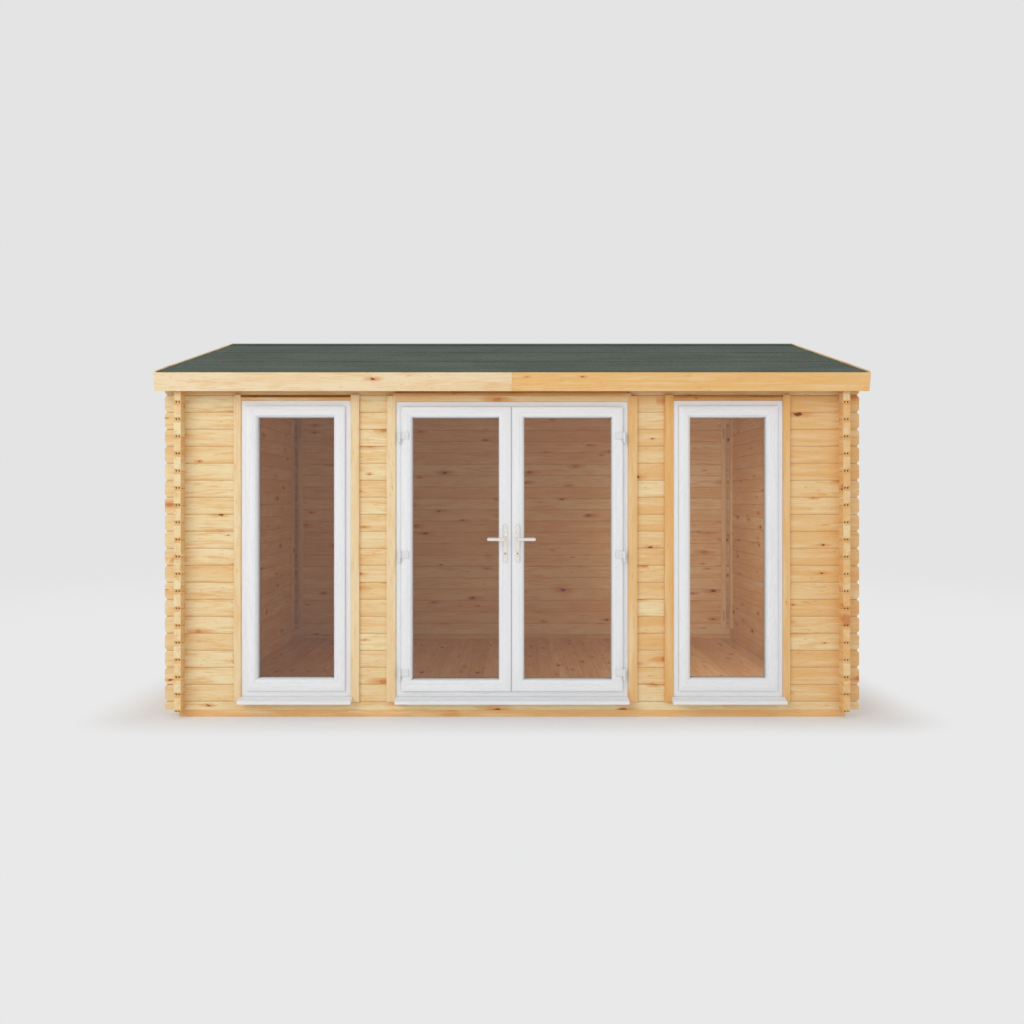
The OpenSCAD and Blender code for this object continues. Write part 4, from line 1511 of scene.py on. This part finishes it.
@dataclass
class Casement:
    """A glazed leaf or sash: welded bars with a stepped bead, seals, and a sealed unit of two panes."""

    bars: str
    glass: str
    body: Body
    laps: tuple[float, float, float, float]
    mitre: float = 0.0
    shift: float = 0.0
    groove: float = 0.012
    pane: float = 0.004
    seal: float = 0.0045
    spacer: float = 0.010
    lap_depth: float = 0.017
    corner: tuple[Pair, ...] = ((0.0, 0.0035), (0.001, 0.001), (0.0035, 0.0))
    bead: tuple[Pair, ...] = ((0.0270, 0.0), (0.0262, 0.0018), (0.0245, 0.0018), (0.0235, 0.0004),
                              (0.0200, 0.0004), (0.0100, 0.0050), (0.0030, 0.0120), (0.0, 0.0170))

    def limits(self) -> tuple[Sequence[float], Sequence[float]]:
        """The bars' outer rectangle, and their widths.

        Returns:
            The rectangle's left, right, bottom and top, and the widths of the bars there.
        """
        low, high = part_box(self.bars)
        near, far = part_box(self.glass)
        widths = (near.x + self.groove - low.x, high.x - far.x + self.groove,
                  near.z + self.groove - low.z, high.z - far.z + self.groove)
        return (low.x, high.x, low.z, high.z), widths

    def section(self) -> Section:
        """The bars' section.

        From the outer edge it has a softened corner, a flat face, a bead that steps and slopes to the glass,
        the glass groove, a plain back with a softened inner corner, and the rebate behind the lap. A corner
        step is an inset and a depth behind the face. A bead step is a distance from the glass line and a
        depth.

        Returns:
            The section.
        """
        front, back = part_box(self.bars)[0].y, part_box(self.bars)[1].y
        near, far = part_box(self.glass)[0].y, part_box(self.glass)[1].y
        return Section((
            *((inset, 0, 0, front + depth) for inset, depth in self.corner),
            *((-away, 1, 0, front + depth) for away, depth in self.bead),
            (0.0, 1, 0, near), (-self.groove, 1, 0, near), (-self.groove, 1, 0, far), (0.0, 1, 0, far),
            (0.0, 1, 0, back - 0.006), (-0.004, 1, 0, back - 0.001), (-0.006, 1, 0, back),
            (0.002, 0, 1, back), (0.0, 0, 1, back - 0.002), (0.0, 0, 1, front + self.lap_depth),
            (0.0, 0, 0, front + self.lap_depth),
        ), self.mitre)

    def build(self, name: str) -> None:
        """Builds the bars, the seals and the glass.

        Args:
            name: start of the pieces' names.
        """
        rect, widths = self.limits()
        near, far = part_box(self.glass)
        shell = Shell()
        self.section().carry(shell, rect, widths, self.laps, self.shift)
        shell.build(name + "_bars", FOIL, self.body, "white_upvc", [self.bars], 28.0)
        seal = Shell()
        for face, out in ((near.y, -self.seal), (far.y, self.seal)):
            rows = ((-0.002, 1, 0, face), (self.seal, 1, 0, face), (0.003, 1, 0, face + out * 2 / 3),
                    (-0.002, 1, 0, face + out))
            Section(rows).carry(seal, rect, widths, self.laps, 0.0)
        seal.build(name + "_seals", SEAL, self.body, "white_upvc")
        bar = Shell()
        inner, outer = near.y + self.pane, far.y - self.pane
        rows = ((-self.spacer, 1, 0, inner), (0.001, 1, 0, inner), (0.001, 1, 0, outer),
                (-self.spacer, 1, 0, outer))
        Section(rows).carry(bar, rect, widths, self.laps, 0.0)
        bar.build(name + "_spacer", SPACER, self.body, "satin_metal")
        panes = Shell()
        for low, high in ((near.y, near.y + self.pane), (far.y - self.pane, far.y)):
            panes.board((near.x, low, near.z), (far.x, high, far.z), ALONG_X, np.zeros(3), 0.5, 0.0004)
        panes.build(name + "_panes", GLASS, self.body, "clear_glass", [self.glass])


@dataclass
class Joinery:
    """Fixed frames, sills, sashes and leaves."""

    rim: float = 0.045
    corner: tuple[Pair, ...] = ((0.0, 0.003), (0.001, 0.0008), (0.003, 0.0))
    step: tuple[Pair, ...] = ((-0.012, 0.0), (-0.0112, 0.0015), (-0.002, 0.0015), (0.0, 0.0035))
    seal: tuple[Pair, ...] = ((-0.0085, 0.0015), (-0.0035, 0.0015), (-0.0050, -0.0022), (-0.0075, -0.0022))
    back_ease: float = 0.002
    meeting_seals: tuple[Pair, Pair] = ((-0.001, 0.0042), (-0.0018, 0.001))
    seal_t: float = 0.012
    window_lap: float = 0.009
    leaf_lap: float = 0.0175
    meeting_lap: float = 0.005
    mitre: float = 0.0014

    def frame(self, node: str, body: Body, shift: float, sealed: bool) -> None:
        """A fixed outer frame: softened edges, with a low step where the leaf or sash closes over it.

        The profiles are pairs of an inset, from the outer edge or from the rim, and a depth behind the face.

        Args:
            node: the node that it stands for.
            body: the body that it rides on.
            shift: shift of the foil's grain.
            sealed: whether a seal stands on the step.
        """
        low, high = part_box(node)
        front, back, rim, ease = low.y, high.y, self.rim, self.back_ease
        section = Section((
            *((inset, 0, 0, front + depth) for inset, depth in self.corner),
            *((rim + inset, 0, 0, front + depth) for inset, depth in self.step),
            (rim, 0, 0, back - ease), (rim - ease, 0, 0, back), (ease, 0, 0, back), (0.0, 0, 0, back - ease),
        ))
        rect, none = (low.x, high.x, low.z, high.z), (0.0,) * 4
        shell = Shell()
        section.carry(shell, rect, none, none, shift)
        shell.build(node + "_bars", FOIL, body, "white_upvc", [node], 28.0)
        if sealed:
            seal = Shell()
            section = Section(tuple((rim + inset, 0, 0, front + depth) for inset, depth in self.seal))
            section.carry(seal, rect, none, none, 0.0)
            seal.build(node + "_seal", SEAL, body, "white_upvc")

    def close_gap(self) -> None:
        """Seals on both leaves that nearly close the gap between them, each from an edge of its leaf."""
        low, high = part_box("left_door_leaf")
        for side, edge, (start, end) in zip(Side, (high.x, 0.0), self.meeting_seals):
            shell = Shell()
            shell.board((edge + start, low.y + 0.001, low.z), (edge + end, low.y + self.seal_t, high.z),
                        UPRIGHT, np.zeros(3), 0.5, 0.0008)
            shell.build(f"{side.word}_meeting_seal", SEAL, side.door, "white_upvc")

    def build(self) -> None:
        """Builds the windows, the door frame, the sills and the leaves."""
        for side in Side:
            self.frame(f"{side.word}_window_frame", Body.CABIN, 2.0 * side.value, False)
            window = Casement(f"{side.word}_window_sash", f"{side.word}_window_glass", Body.CABIN,
                              (self.window_lap,) * 4, self.mitre, 5.0 * side.value)
            window.build(f"{side.word}_window")
            outer, inner = self.leaf_lap, self.meeting_lap
            laps = (outer, inner, outer, outer) if side is Side.LEFT else (inner, outer, outer, outer)
            door = Casement(f"{side.word}_door_leaf", f"{side.word}_door_glass", side.door, laps, 0.0,
                            11.0 * side.value)
            door.build(f"{side.word}_door")
        self.close_gap()
        self.frame("door_frame", Body.CABIN, 17.0, True)
        for node in ("window_sills", "door_sill"):
            copied_boards(node, FOIL, (0.5,), 71, 0.0012)


# ---- hardware


def rounded(half_w: float, half_h: float, radius: float, steps: int = 8) -> np.ndarray:
    """A rectangle's outline with round corners: a quarter circle about each corner's centre, in turn.

    Args:
        half_w: half its width.
        half_h: half its height.
        radius: radius of the corners.
        steps: points in a corner.

    Returns:
        Its points in order.
    """
    turn = np.linspace(0, math.pi / 2, steps)
    quarters = []
    for number, (i, j) in enumerate(((1, 1), (-1, 1), (-1, -1), (1, -1))):
        angle = turn + number * math.pi / 2
        quarters.append(np.column_stack([i * (half_w - radius) + radius * np.cos(angle),
                                         j * (half_h - radius) + radius * np.sin(angle)]))
    return np.concatenate(quarters)


def facing(out: float, spot: Vector) -> Basis:
    """The basis of a fitting on a leaf's face: lengths stand out of it, depths are X, heights are Z."""
    return Basis((0, out, 0), (1, 0, 0), (0, 0, 1), spot)


def domed_plate(shell: Shell, basis: Basis, half_w: float, half_h: float, radius: float, thick: float,
                edge: float) -> None:
    """A plate with a rounded edge: its outline repeated inwards along a quarter circle of the edge's radius.

    Args:
        shell: the piece that it belongs to.
        basis: length stands out of the face, depth and height lie in it.
        half_w: half its size along the depth direction.
        half_h: half its size along the height direction.
        radius: radius of its corners.
        thick: how far it stands out.
        edge: radius of its rounded edge.
    """
    angle = np.linspace(0, math.pi / 2, 5)
    insets = np.concatenate([[0.0], edge * (1 - np.cos(angle))])
    levels = np.concatenate([[0.0], thick - edge + edge * np.sin(angle)])
    rows = []
    for inset, level in zip(insets, levels):
        ring = rounded(half_w - inset, half_h - inset, max(radius - inset, 0.0004))
        rows.append(basis.place(np.full(len(ring), level), ring[:, 0], ring[:, 1]))
    shell.grid(np.stack(rows))


def turned(shell: Shell, basis: Basis, profile: Sequence[tuple[float, float]], sides: int = 32) -> None:
    """A turned shape: each (length, radius) of the profile swept round the basis' length axis.

    Args:
        shell: the piece that it belongs to.
        basis: its axis is the direction of lengths.
        profile: (length, radius) pairs from one end to the other.
        sides: points in a ring.
    """
    length, radius = np.array(profile).T
    angle = np.linspace(0, 2 * math.pi, sides, endpoint=False)
    rows = [basis.place(np.full(sides, at), size * np.cos(angle), size * np.sin(angle))
            for at, size in zip(length, radius)]
    shell.grid(np.stack(rows))


def tube(shell: Shell, path: np.ndarray, up: Sequence[float], halves: np.ndarray, sides: int = 24) -> None:
    """A bar swept along a path that lies square to up.

    Each ring is a superellipse: its half width lies along the path's normal and its half height along up.

    Args:
        shell: the piece that it belongs to.
        path: the middle line, one point a row.
        up: the direction of the heights.
        halves: half width and half height at each point.
        sides: points in a ring.
    """
    along = np.gradient(path, axis=0)
    along /= np.linalg.norm(along, axis=1)[:, None]
    normal = np.cross(along, up)
    angle = np.linspace(0, 2 * math.pi, sides, endpoint=False)
    across, height = (np.sign(side) * np.abs(side) ** (2 / SQUARENESS)
                      for side in (np.cos(angle), np.sin(angle)))
    wide = halves[:, 0, None, None] * across[None, :, None] * normal[:, None, :]
    tall = halves[:, 1, None, None] * height[None, :, None] * np.array(up, float)[None, None, :]
    shell.grid(path[:, None, :] + wide + tall)


@dataclass
class Hinges:
    """Three flag hinges a leaf: plate and knuckle on the leaf, and knuckle, pin and post on the frame."""

    places: dict[str, Vector]
    centres: tuple[float, float, float] = (0.277, 1.038, 1.804)
    radius: float = 0.009
    barrel: float = 0.071
    flag_h: float = 0.047
    flag_w: float = 0.058
    flag_t: float = 0.007
    flag_gap: float = 0.004
    post_w: float = 0.012
    pin: float = 0.005
    pin_inset: float = 0.002
    gap: float = 0.0005
    cap_rise: float = 0.012
    cap_shift: float = 0.008
    cap_r: float = 0.0042
    flag_corner: float = 0.004
    flag_edge: float = 0.002

    def knuckle(self, low: float, high: float) -> list[tuple[float, float]]:
        """A knuckle's profile: eased ends, and a shallow ring below its cap.

        Args:
            low: its lower end.
            high: its upper end.

        Returns:
            (length, radius) pairs.
        """
        r, ease, cap = self.radius, 0.0012, 0.005
        return [(low, r - ease), (low + ease, r), (high - cap - 0.0008, r), (high - cap - 0.0004, r - 0.0006),
                (high - cap, r), (high - ease, r), (high, r - ease)]

    def flag(self, moving: Shell, caps: Shell, side: Side, low: float) -> None:
        """A flag plate with its two screw caps.

        Args:
            moving: the piece that the plate belongs to.
            caps: the piece that the caps belong to.
            side: the leaf that it is on.
            low: height of its lower edge.
        """
        x = self.places[f"{side.word}_door_hinge"][0]
        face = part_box("left_door_leaf")[0].y
        reach = self.flag_w - self.flag_gap
        centre = (x - side.value * (self.flag_gap + reach / 2), face, low + self.flag_h / 2)
        domed_plate(moving, facing(-1.0, centre), reach / 2, self.flag_h / 2, self.flag_corner, self.flag_t,
                    self.flag_edge)
        for rise in (-self.cap_rise, self.cap_rise):
            spot = (centre[0] - side.value * self.cap_shift, face - self.flag_t, centre[2] + rise)
            turned(caps, facing(-1.0, spot),
                   [(-0.001, self.cap_r), (0.0006, self.cap_r), (0.0010, 0.0036), (0.0010, 0.0010)])

    def build(self) -> None:
        """Builds the leaf halves and the frame halves."""
        fixed, pins = Shell(), Shell()
        frame_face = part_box("door_frame")[0].y
        for side in Side:
            moving, caps = Shell(), Shell()
            x, y, _ = self.places[f"{side.word}_door_hinge"]
            upright = Basis((0, 0, 1), (1, 0, 0), (0, 1, 0), (x, y, 0))
            for middle in self.centres:
                top, foot = middle + self.barrel / 2, middle - self.barrel / 2
                joint = top - self.flag_h
                turned(moving, upright, self.knuckle(joint, top))
                self.flag(moving, caps, side, joint)
                turned(fixed, upright, self.knuckle(foot, joint - self.gap))
                turned(pins, upright, [(foot + self.pin_inset, self.pin), (top - self.pin_inset, self.pin)])
                inner = x - side.value * (self.post_w - self.radius)
                fixed.board((inner, y, foot), (x + side.value * self.radius, frame_face, joint - self.gap),
                            UPRIGHT, np.zeros(3), 0.5, 0.0012)
            moving.build(f"{side.word}_hinge_flags", CAP, side.door, "white_upvc",
                         [f"{side.word}_door_hinges"])
            caps.build(f"{side.word}_hinge_caps", CAP, side.door, "white_upvc")
        fixed.build("hinge_posts", CAP, Body.CABIN, "white_upvc", ["door_frame_hinges"])
        pins.build("hinge_pins", ZINC, Body.CABIN, "satin_metal")


@dataclass
class Furniture:
    """Door furniture of one leaf: long plates, round roses, a pair of levers and the lock cylinder."""

    side: Side
    places: dict[str, Vector]
    plate_w: float = 0.029
    plate_h: float = 0.248
    plate_t: float = 0.009
    plate_edge: float = 0.004
    drop: float = 0.026
    screw_inset: float = 0.014
    screw_r: float = 0.0036
    rose_r: float = 0.0135
    neck_r: float = 0.0085
    reach: float = 0.048
    length: float = 0.117
    lock_drop: float = 0.092
    lock_r: float = 0.0085
    lock_proud: float = 0.0040
    plug_r: float = 0.0080
    web_w: float = 0.010
    lock_h: float = 0.033
    bend: float = 0.014
    tip: float = 0.007
    half_wide: Pair = (0.0072, 0.0062)
    half_high: Pair = (0.0098, 0.0094)

    def spots(self, lower: float) -> list[tuple[float, Vector]]:
        """Spots below the lever's axis on the leaf's outer and inner faces.

        Args:
            lower: how far below.

        Returns:
            The direction in which each face looks, and the spot.
        """
        x, _, z = self.places[f"{self.side.word}_lever_turn"]
        low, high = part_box(f"{self.side.word}_door_leaf")
        return [(-1.0, (x, low.y, z - lower)), (1.0, (x, high.y, z - lower))]

    def plates(self) -> None:
        """The long plates with their roses, and a screw near each end."""
        plates, screws = Shell(), Shell()
        for out, spot in self.spots(self.drop):
            domed_plate(plates, facing(out, spot), self.plate_w / 2, self.plate_h / 2,
                        self.plate_w / 2 - 0.0005, self.plate_t, self.plate_edge)
        top = self.plate_t
        for out, spot in self.spots(0.0):
            turned(plates, facing(out, spot), [
                (top - 0.002, self.rose_r), (top + 0.0015, self.rose_r), (top + 0.0030, self.rose_r - 0.0015),
                (top + 0.0030, self.neck_r),
            ])
        for end in (-1, 1):
            for out, spot in self.spots(self.drop - end * (self.plate_h / 2 - self.screw_inset)):
                turned(screws, facing(out, spot), [
                    (top - 0.001, self.screw_r), (top + 0.0004, self.screw_r), (top + 0.0012, 0.0022),
                    (top + 0.0012, 0.0004),
                ])
        word, door = self.side.word, self.side.door
        plates.build(f"{word}_plates", STEEL, door, "satin_metal", [f"{word}_handle_plates"], 35.0)
        screws.build(f"{word}_plate_screws", STEEL, door, "satin_metal")

    def levers(self) -> None:
        """The outer and the inner lever."""
        shell, word = Shell(), self.side.word
        for out, spot in self.spots(0.0):
            self.handle(shell, spot, out)
        shell.build(f"{word}_lever_pair", STEEL, self.side.lever, "satin_metal", [f"{word}_lever"], 50.0)

    def lock(self) -> None:
        """The lock cylinder's faces, each with a brass plug and a thin black plate on it that paints the
        keyway's shade.
        """
        body, plug, key = Shell(), Shell(), Shell()
        level = self.plate_t + self.lock_proud
        for out, spot in self.spots(self.lock_drop):
            self.cylinder_face(body, facing(out, spot))
            turned(plug, facing(out, spot), [
                (level - 0.003, self.plug_r), (level + 0.0004, self.plug_r), (level + 0.0009, 0.0074),
                (level + 0.0009, 0.0010),
            ])
            # Painted shade: a thin black plate on the plug stands for the shaded keyway.
            way = facing(out, (spot[0], spot[1] + out * (level + 0.0007), spot[2]))
            domed_plate(key, way, 0.0008, 0.0038, 0.0004, 0.0005, 0.0002)
        word, door = self.side.word, self.side.door
        body.build(f"{word}_lock_body", STEEL, door, "satin_metal", [f"{word}_lock_cylinder"], 35.0)
        plug.build(f"{word}_lock_plugs", BRASS, door, "lock_brass", (), 35.0)
        key.build(f"{word}_keyways", KEYWAY_SHADE, door, "lock_brass")

    def build(self) -> None:
        """Builds the plates, the levers and the lock."""
        self.plates()
        self.levers()
        self.lock()

    def handle(self, shell: Shell, spot: Vector, out: float) -> None:
        """One lever: straight out of the leaf, round a quarter circle, and along to a rounded end.

        Args:
            shell: the piece that it belongs to.
            spot: where its axis meets the leaf's face.
            out: direction in which the face looks.
        """
        x, face, z = spot
        turn, close = np.linspace(0, math.pi / 2, 9)[1:], np.linspace(0.3, math.pi / 2 - 0.05, 6)
        start = np.linspace(self.plate_t - 0.003, self.reach - self.bend, 4)
        rest = np.linspace(self.bend, self.length - self.tip, 14)[1:]
        tip = self.length - self.tip + self.tip * np.sin(close)
        across = np.concatenate([0 * start, self.bend * (1 - np.cos(turn)), rest, tip])
        away = np.concatenate([start, self.reach - self.bend + self.bend * np.sin(turn),
                               np.full(len(rest) + len(tip), self.reach)])
        path = np.column_stack([x + self.side.value * across, face + out * away, np.full(len(across), z)])
        half_w = np.interp(across, [0, self.bend, self.length], [self.neck_r, *self.half_wide])
        half_h = np.interp(across, [0, self.bend, self.length], [self.neck_r, *self.half_high])
        shrink = np.ones(len(across))
        shrink[-len(tip):] = np.cos(close)
        tube(shell, path, (0, 0, 1), np.column_stack([half_w, half_h]) * shrink[:, None])

    def cylinder_face(self, shell: Shell, basis: Basis) -> None:
        """The lock's face: a circle over a narrower web, as one outline, from inside the leaf outwards.

        Args:
            shell: the piece that it belongs to.
            basis: length stands out of the face.
        """
        half = math.asin(self.web_w / 2 / self.lock_r)
        angle = np.linspace(-math.pi / 2 + half, 3 * math.pi / 2 - half, 28)
        circle = self.lock_r * np.column_stack([np.cos(angle), np.sin(angle)])
        foot = self.lock_r - self.lock_h
        lower = np.linspace(math.pi, 2 * math.pi, 9)
        web = self.web_w / 2 * np.column_stack([np.cos(lower), np.sin(lower)]) + (0, foot + self.web_w / 2)
        outline = np.concatenate([circle, web])
        rows = []
        front = self.plate_t + self.lock_proud
        for level, shrink in ((-0.006, 1.0), (front - 0.0010, 1.0), (front, 0.93)):
            rows.append(basis.place(np.full(len(outline), level), *(outline * shrink).T))
        shell.grid(np.stack(rows))


# ---- studio


def turned_to(place: Vector, aim: Vector) -> Vector:
    """The turn of a lamp so that it looks at a point: its tilt from straight down, and its bearing.

    Args:
        place: where the lamp is.
        aim: the point.

    Returns:
        The three angles.
    """
    away = np.array(place) - np.array(aim)
    return (math.atan2(math.hypot(*away[:2]), away[2]), 0.0, math.atan2(away[1], away[0]) + math.pi / 2)


@dataclass
class Studio:
    """Pale floor and backdrop, soft lamps from the front left, and the camera."""

    camera_place: Vector = (0.0, -8.268, 1.397)
    lens: float = 35.9
    sensor: float = 36.0
    shift: float = -11.4 / 1024
    wall: Colour = (0.775, 0.775, 0.778)
    ground: Colour = (0.815, 0.815, 0.817)
    ambient: float = 0.62
    floor_colour: Colour = (0.84, 0.84, 0.842)
    shadow_start: float = 0.05
    shadow_end: float = 0.62
    least_glow: float = 0.25
    horizon_fade: Pair = (5.0, 15.0)
    key_place: Vector = (-6.0, -9.0, 5.5)
    key_aim: Vector = (0.0, -1.0, 1.0)
    key_size: float = 7.0
    key_power: float = 340.0
    fill_place: Vector = (5.5, -9.5, 3.0)
    fill_aim: Vector = (0.5, -1.0, 1.2)
    fill_size: float = 4.0
    fill_power: float = 60.0
    room_place: Vector = (1.75, -0.6, 1.1)
    room_power: float = 20.0
    corner_place: Vector = (0.3, -1.2, 1.5)
    corner_aim: Vector = (2.05, 1.3, 0.95)
    corner_power: float = 62.0
    corner_spread: float = math.radians(62)
    half: float = 60.0
    spokes: int = 96

    def camera(self) -> None:
        """The camera, level and square to the front."""
        lens = bpy.data.cameras.new("camera")
        lens.lens, lens.sensor_width, lens.shift_y = self.lens, self.sensor, self.shift
        lens.clip_end = 300.0
        eye = bpy.data.objects.new("camera", lens)
        eye.location = self.camera_place
        eye.rotation_euler = (math.pi / 2, 0.0, 0.0)
        link(eye)
        bpy.context.scene.camera = eye

    def lamp(self, name: str, kind: str, place: Vector, aim: Vector, **settings: object) -> None:
        """A lamp that looks at a point. It is not seen, and leaves no bright spot in glass or metal.

        Args:
            name: the lamp's name.
            kind: AREA, POINT or SPOT.
            place: where it is.
            aim: the point that it looks at.
            **settings: its power in watts, its size and its other properties.
        """
        data = bpy.data.lights.new(name, kind)
        for key, value in settings.items():
            setattr(data, key, value)
        lamp = bpy.data.objects.new(name, data)
        lamp.location, lamp.rotation_euler = place, turned_to(place, aim)
        lamp.visible_camera = lamp.visible_glossy = False
        link(lamp)

    def room_lamps(self) -> None:
        """Two weak lamps inside: one so that the room shows through the glass, one for its right corner."""
        self.lamp("room", "POINT", self.room_place, self.corner_aim, energy=self.room_power,
                  shadow_soft_size=0.6)
        self.lamp("corner", "SPOT", self.corner_place, self.corner_aim, energy=self.corner_power,
                  shadow_soft_size=0.3, spot_size=self.corner_spread, spot_blend=1.0)

    def front_lamps(self) -> None:
        """Two large soft lamps outside: the key from the front left, and a weaker fill from the right."""
        self.lamp("key", "AREA", self.key_place, self.key_aim, shape="SQUARE", size=self.key_size,
                  energy=self.key_power)
        self.lamp("fill", "AREA", self.fill_place, self.fill_aim, shape="SQUARE", size=self.fill_size,
                  energy=self.fill_power)

    def world(self) -> None:
        """The surroundings: a plain pale colour where they are seen, and even soft light elsewhere."""
        mix = Recipe(bpy.data.worlds.new("studio"))
        seen = mix.node("LightPath", {}, "Is Camera Ray")
        ways = seen.node.outputs
        for name in ("Is Glossy Ray", "Is Transmission Ray"):
            seen = mix.math("MAXIMUM", seen, ways[name])
        colour = mix.blend(seen, (self.ambient,) * 3, self.wall)
        bpy.context.scene.world = mix.finish(mix.node("Background", {"Color": colour}))

    def floor_material(self) -> bpy.types.Material:
        """The floor's material: it takes shadows near the building and fades to the backdrop far away.

        Returns:
            The material.
        """
        mix = Recipe(bpy.data.materials.new("studio_floor"))
        place = mix.node("TexCoord", {}, "Object")
        far = mix.fade(mix.vector("LENGTH", place, out="Value"), *self.horizon_fade)
        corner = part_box("rear_wall")[1]
        outside = mix.vector("SUBTRACT", mix.vector("ABSOLUTE", place), (corner.x, corner.y, 0.0))
        away = mix.vector("LENGTH", mix.vector("MAXIMUM", outside), out="Value")
        lit = mix.node("BsdfDiffuse", {"Color": opaque(self.floor_colour)})
        glow = mix.node("Emission", {"Color": mix.blend(far, self.ground, self.wall), "Strength": 1.0})
        share = mix.fade(away, self.shadow_start, self.shadow_end, self.least_glow, 1.0)
        return mix.finish(mix.node("MixShader", {0: share, 1: lit, 2: glow}))

    def floor(self) -> None:
        """The floor: rings of points at growing radii round the middle, and a disc inside the first."""
        angle = np.linspace(0, 2 * math.pi, self.spokes, endpoint=False)
        radius = np.concatenate([np.linspace(0.5, 12, 24), np.geomspace(13, self.half, 8)])
        x, y = np.outer(radius, np.cos(angle)), np.outer(radius, np.sin(angle))
        points = np.column_stack([x.ravel(), y.ravel(), np.zeros(x.size)])
        index = np.arange(len(points)).reshape(x.shape)
        after = np.roll(index, -1, axis=1)
        quads = np.stack([index[:-1], index[1:], after[1:], after[:-1]], axis=-1).reshape(-1, 4)
        mesh = bpy.data.meshes.new("studio_floor")
        mesh.from_pydata(points.tolist(), [], quads.tolist() + index[:1].tolist())
        mesh.materials.append(self.floor_material())
        floor = bpy.data.objects.new("studio_floor", mesh)
        link(floor)

    def build(self) -> None:
        """Builds the studio."""
        bpy.context.scene.view_settings.view_transform = "Standard"
        self.camera()
        self.world()
        self.floor()
        self.room_lamps()
        self.front_lamps()


def main() -> None:
    """Builds the studio and every sub-assembly in order."""
    logging.basicConfig(level=logging.INFO, format="%(name)s %(message)s")
    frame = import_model()
    places = {joint["name"]: tuple(joint["pos_m"]) for joint in frame["joints"]}
    Studio().build()
    roof = RoofLine()
    LogWalls(roof).build()
    Timber(roof).build()
    RoofFelt(roof).build()
    Joinery().build()
    Hinges(places).build()
    for side in Side:
        Furniture(side, places).build()


if __name__ == "__main__":
    main()
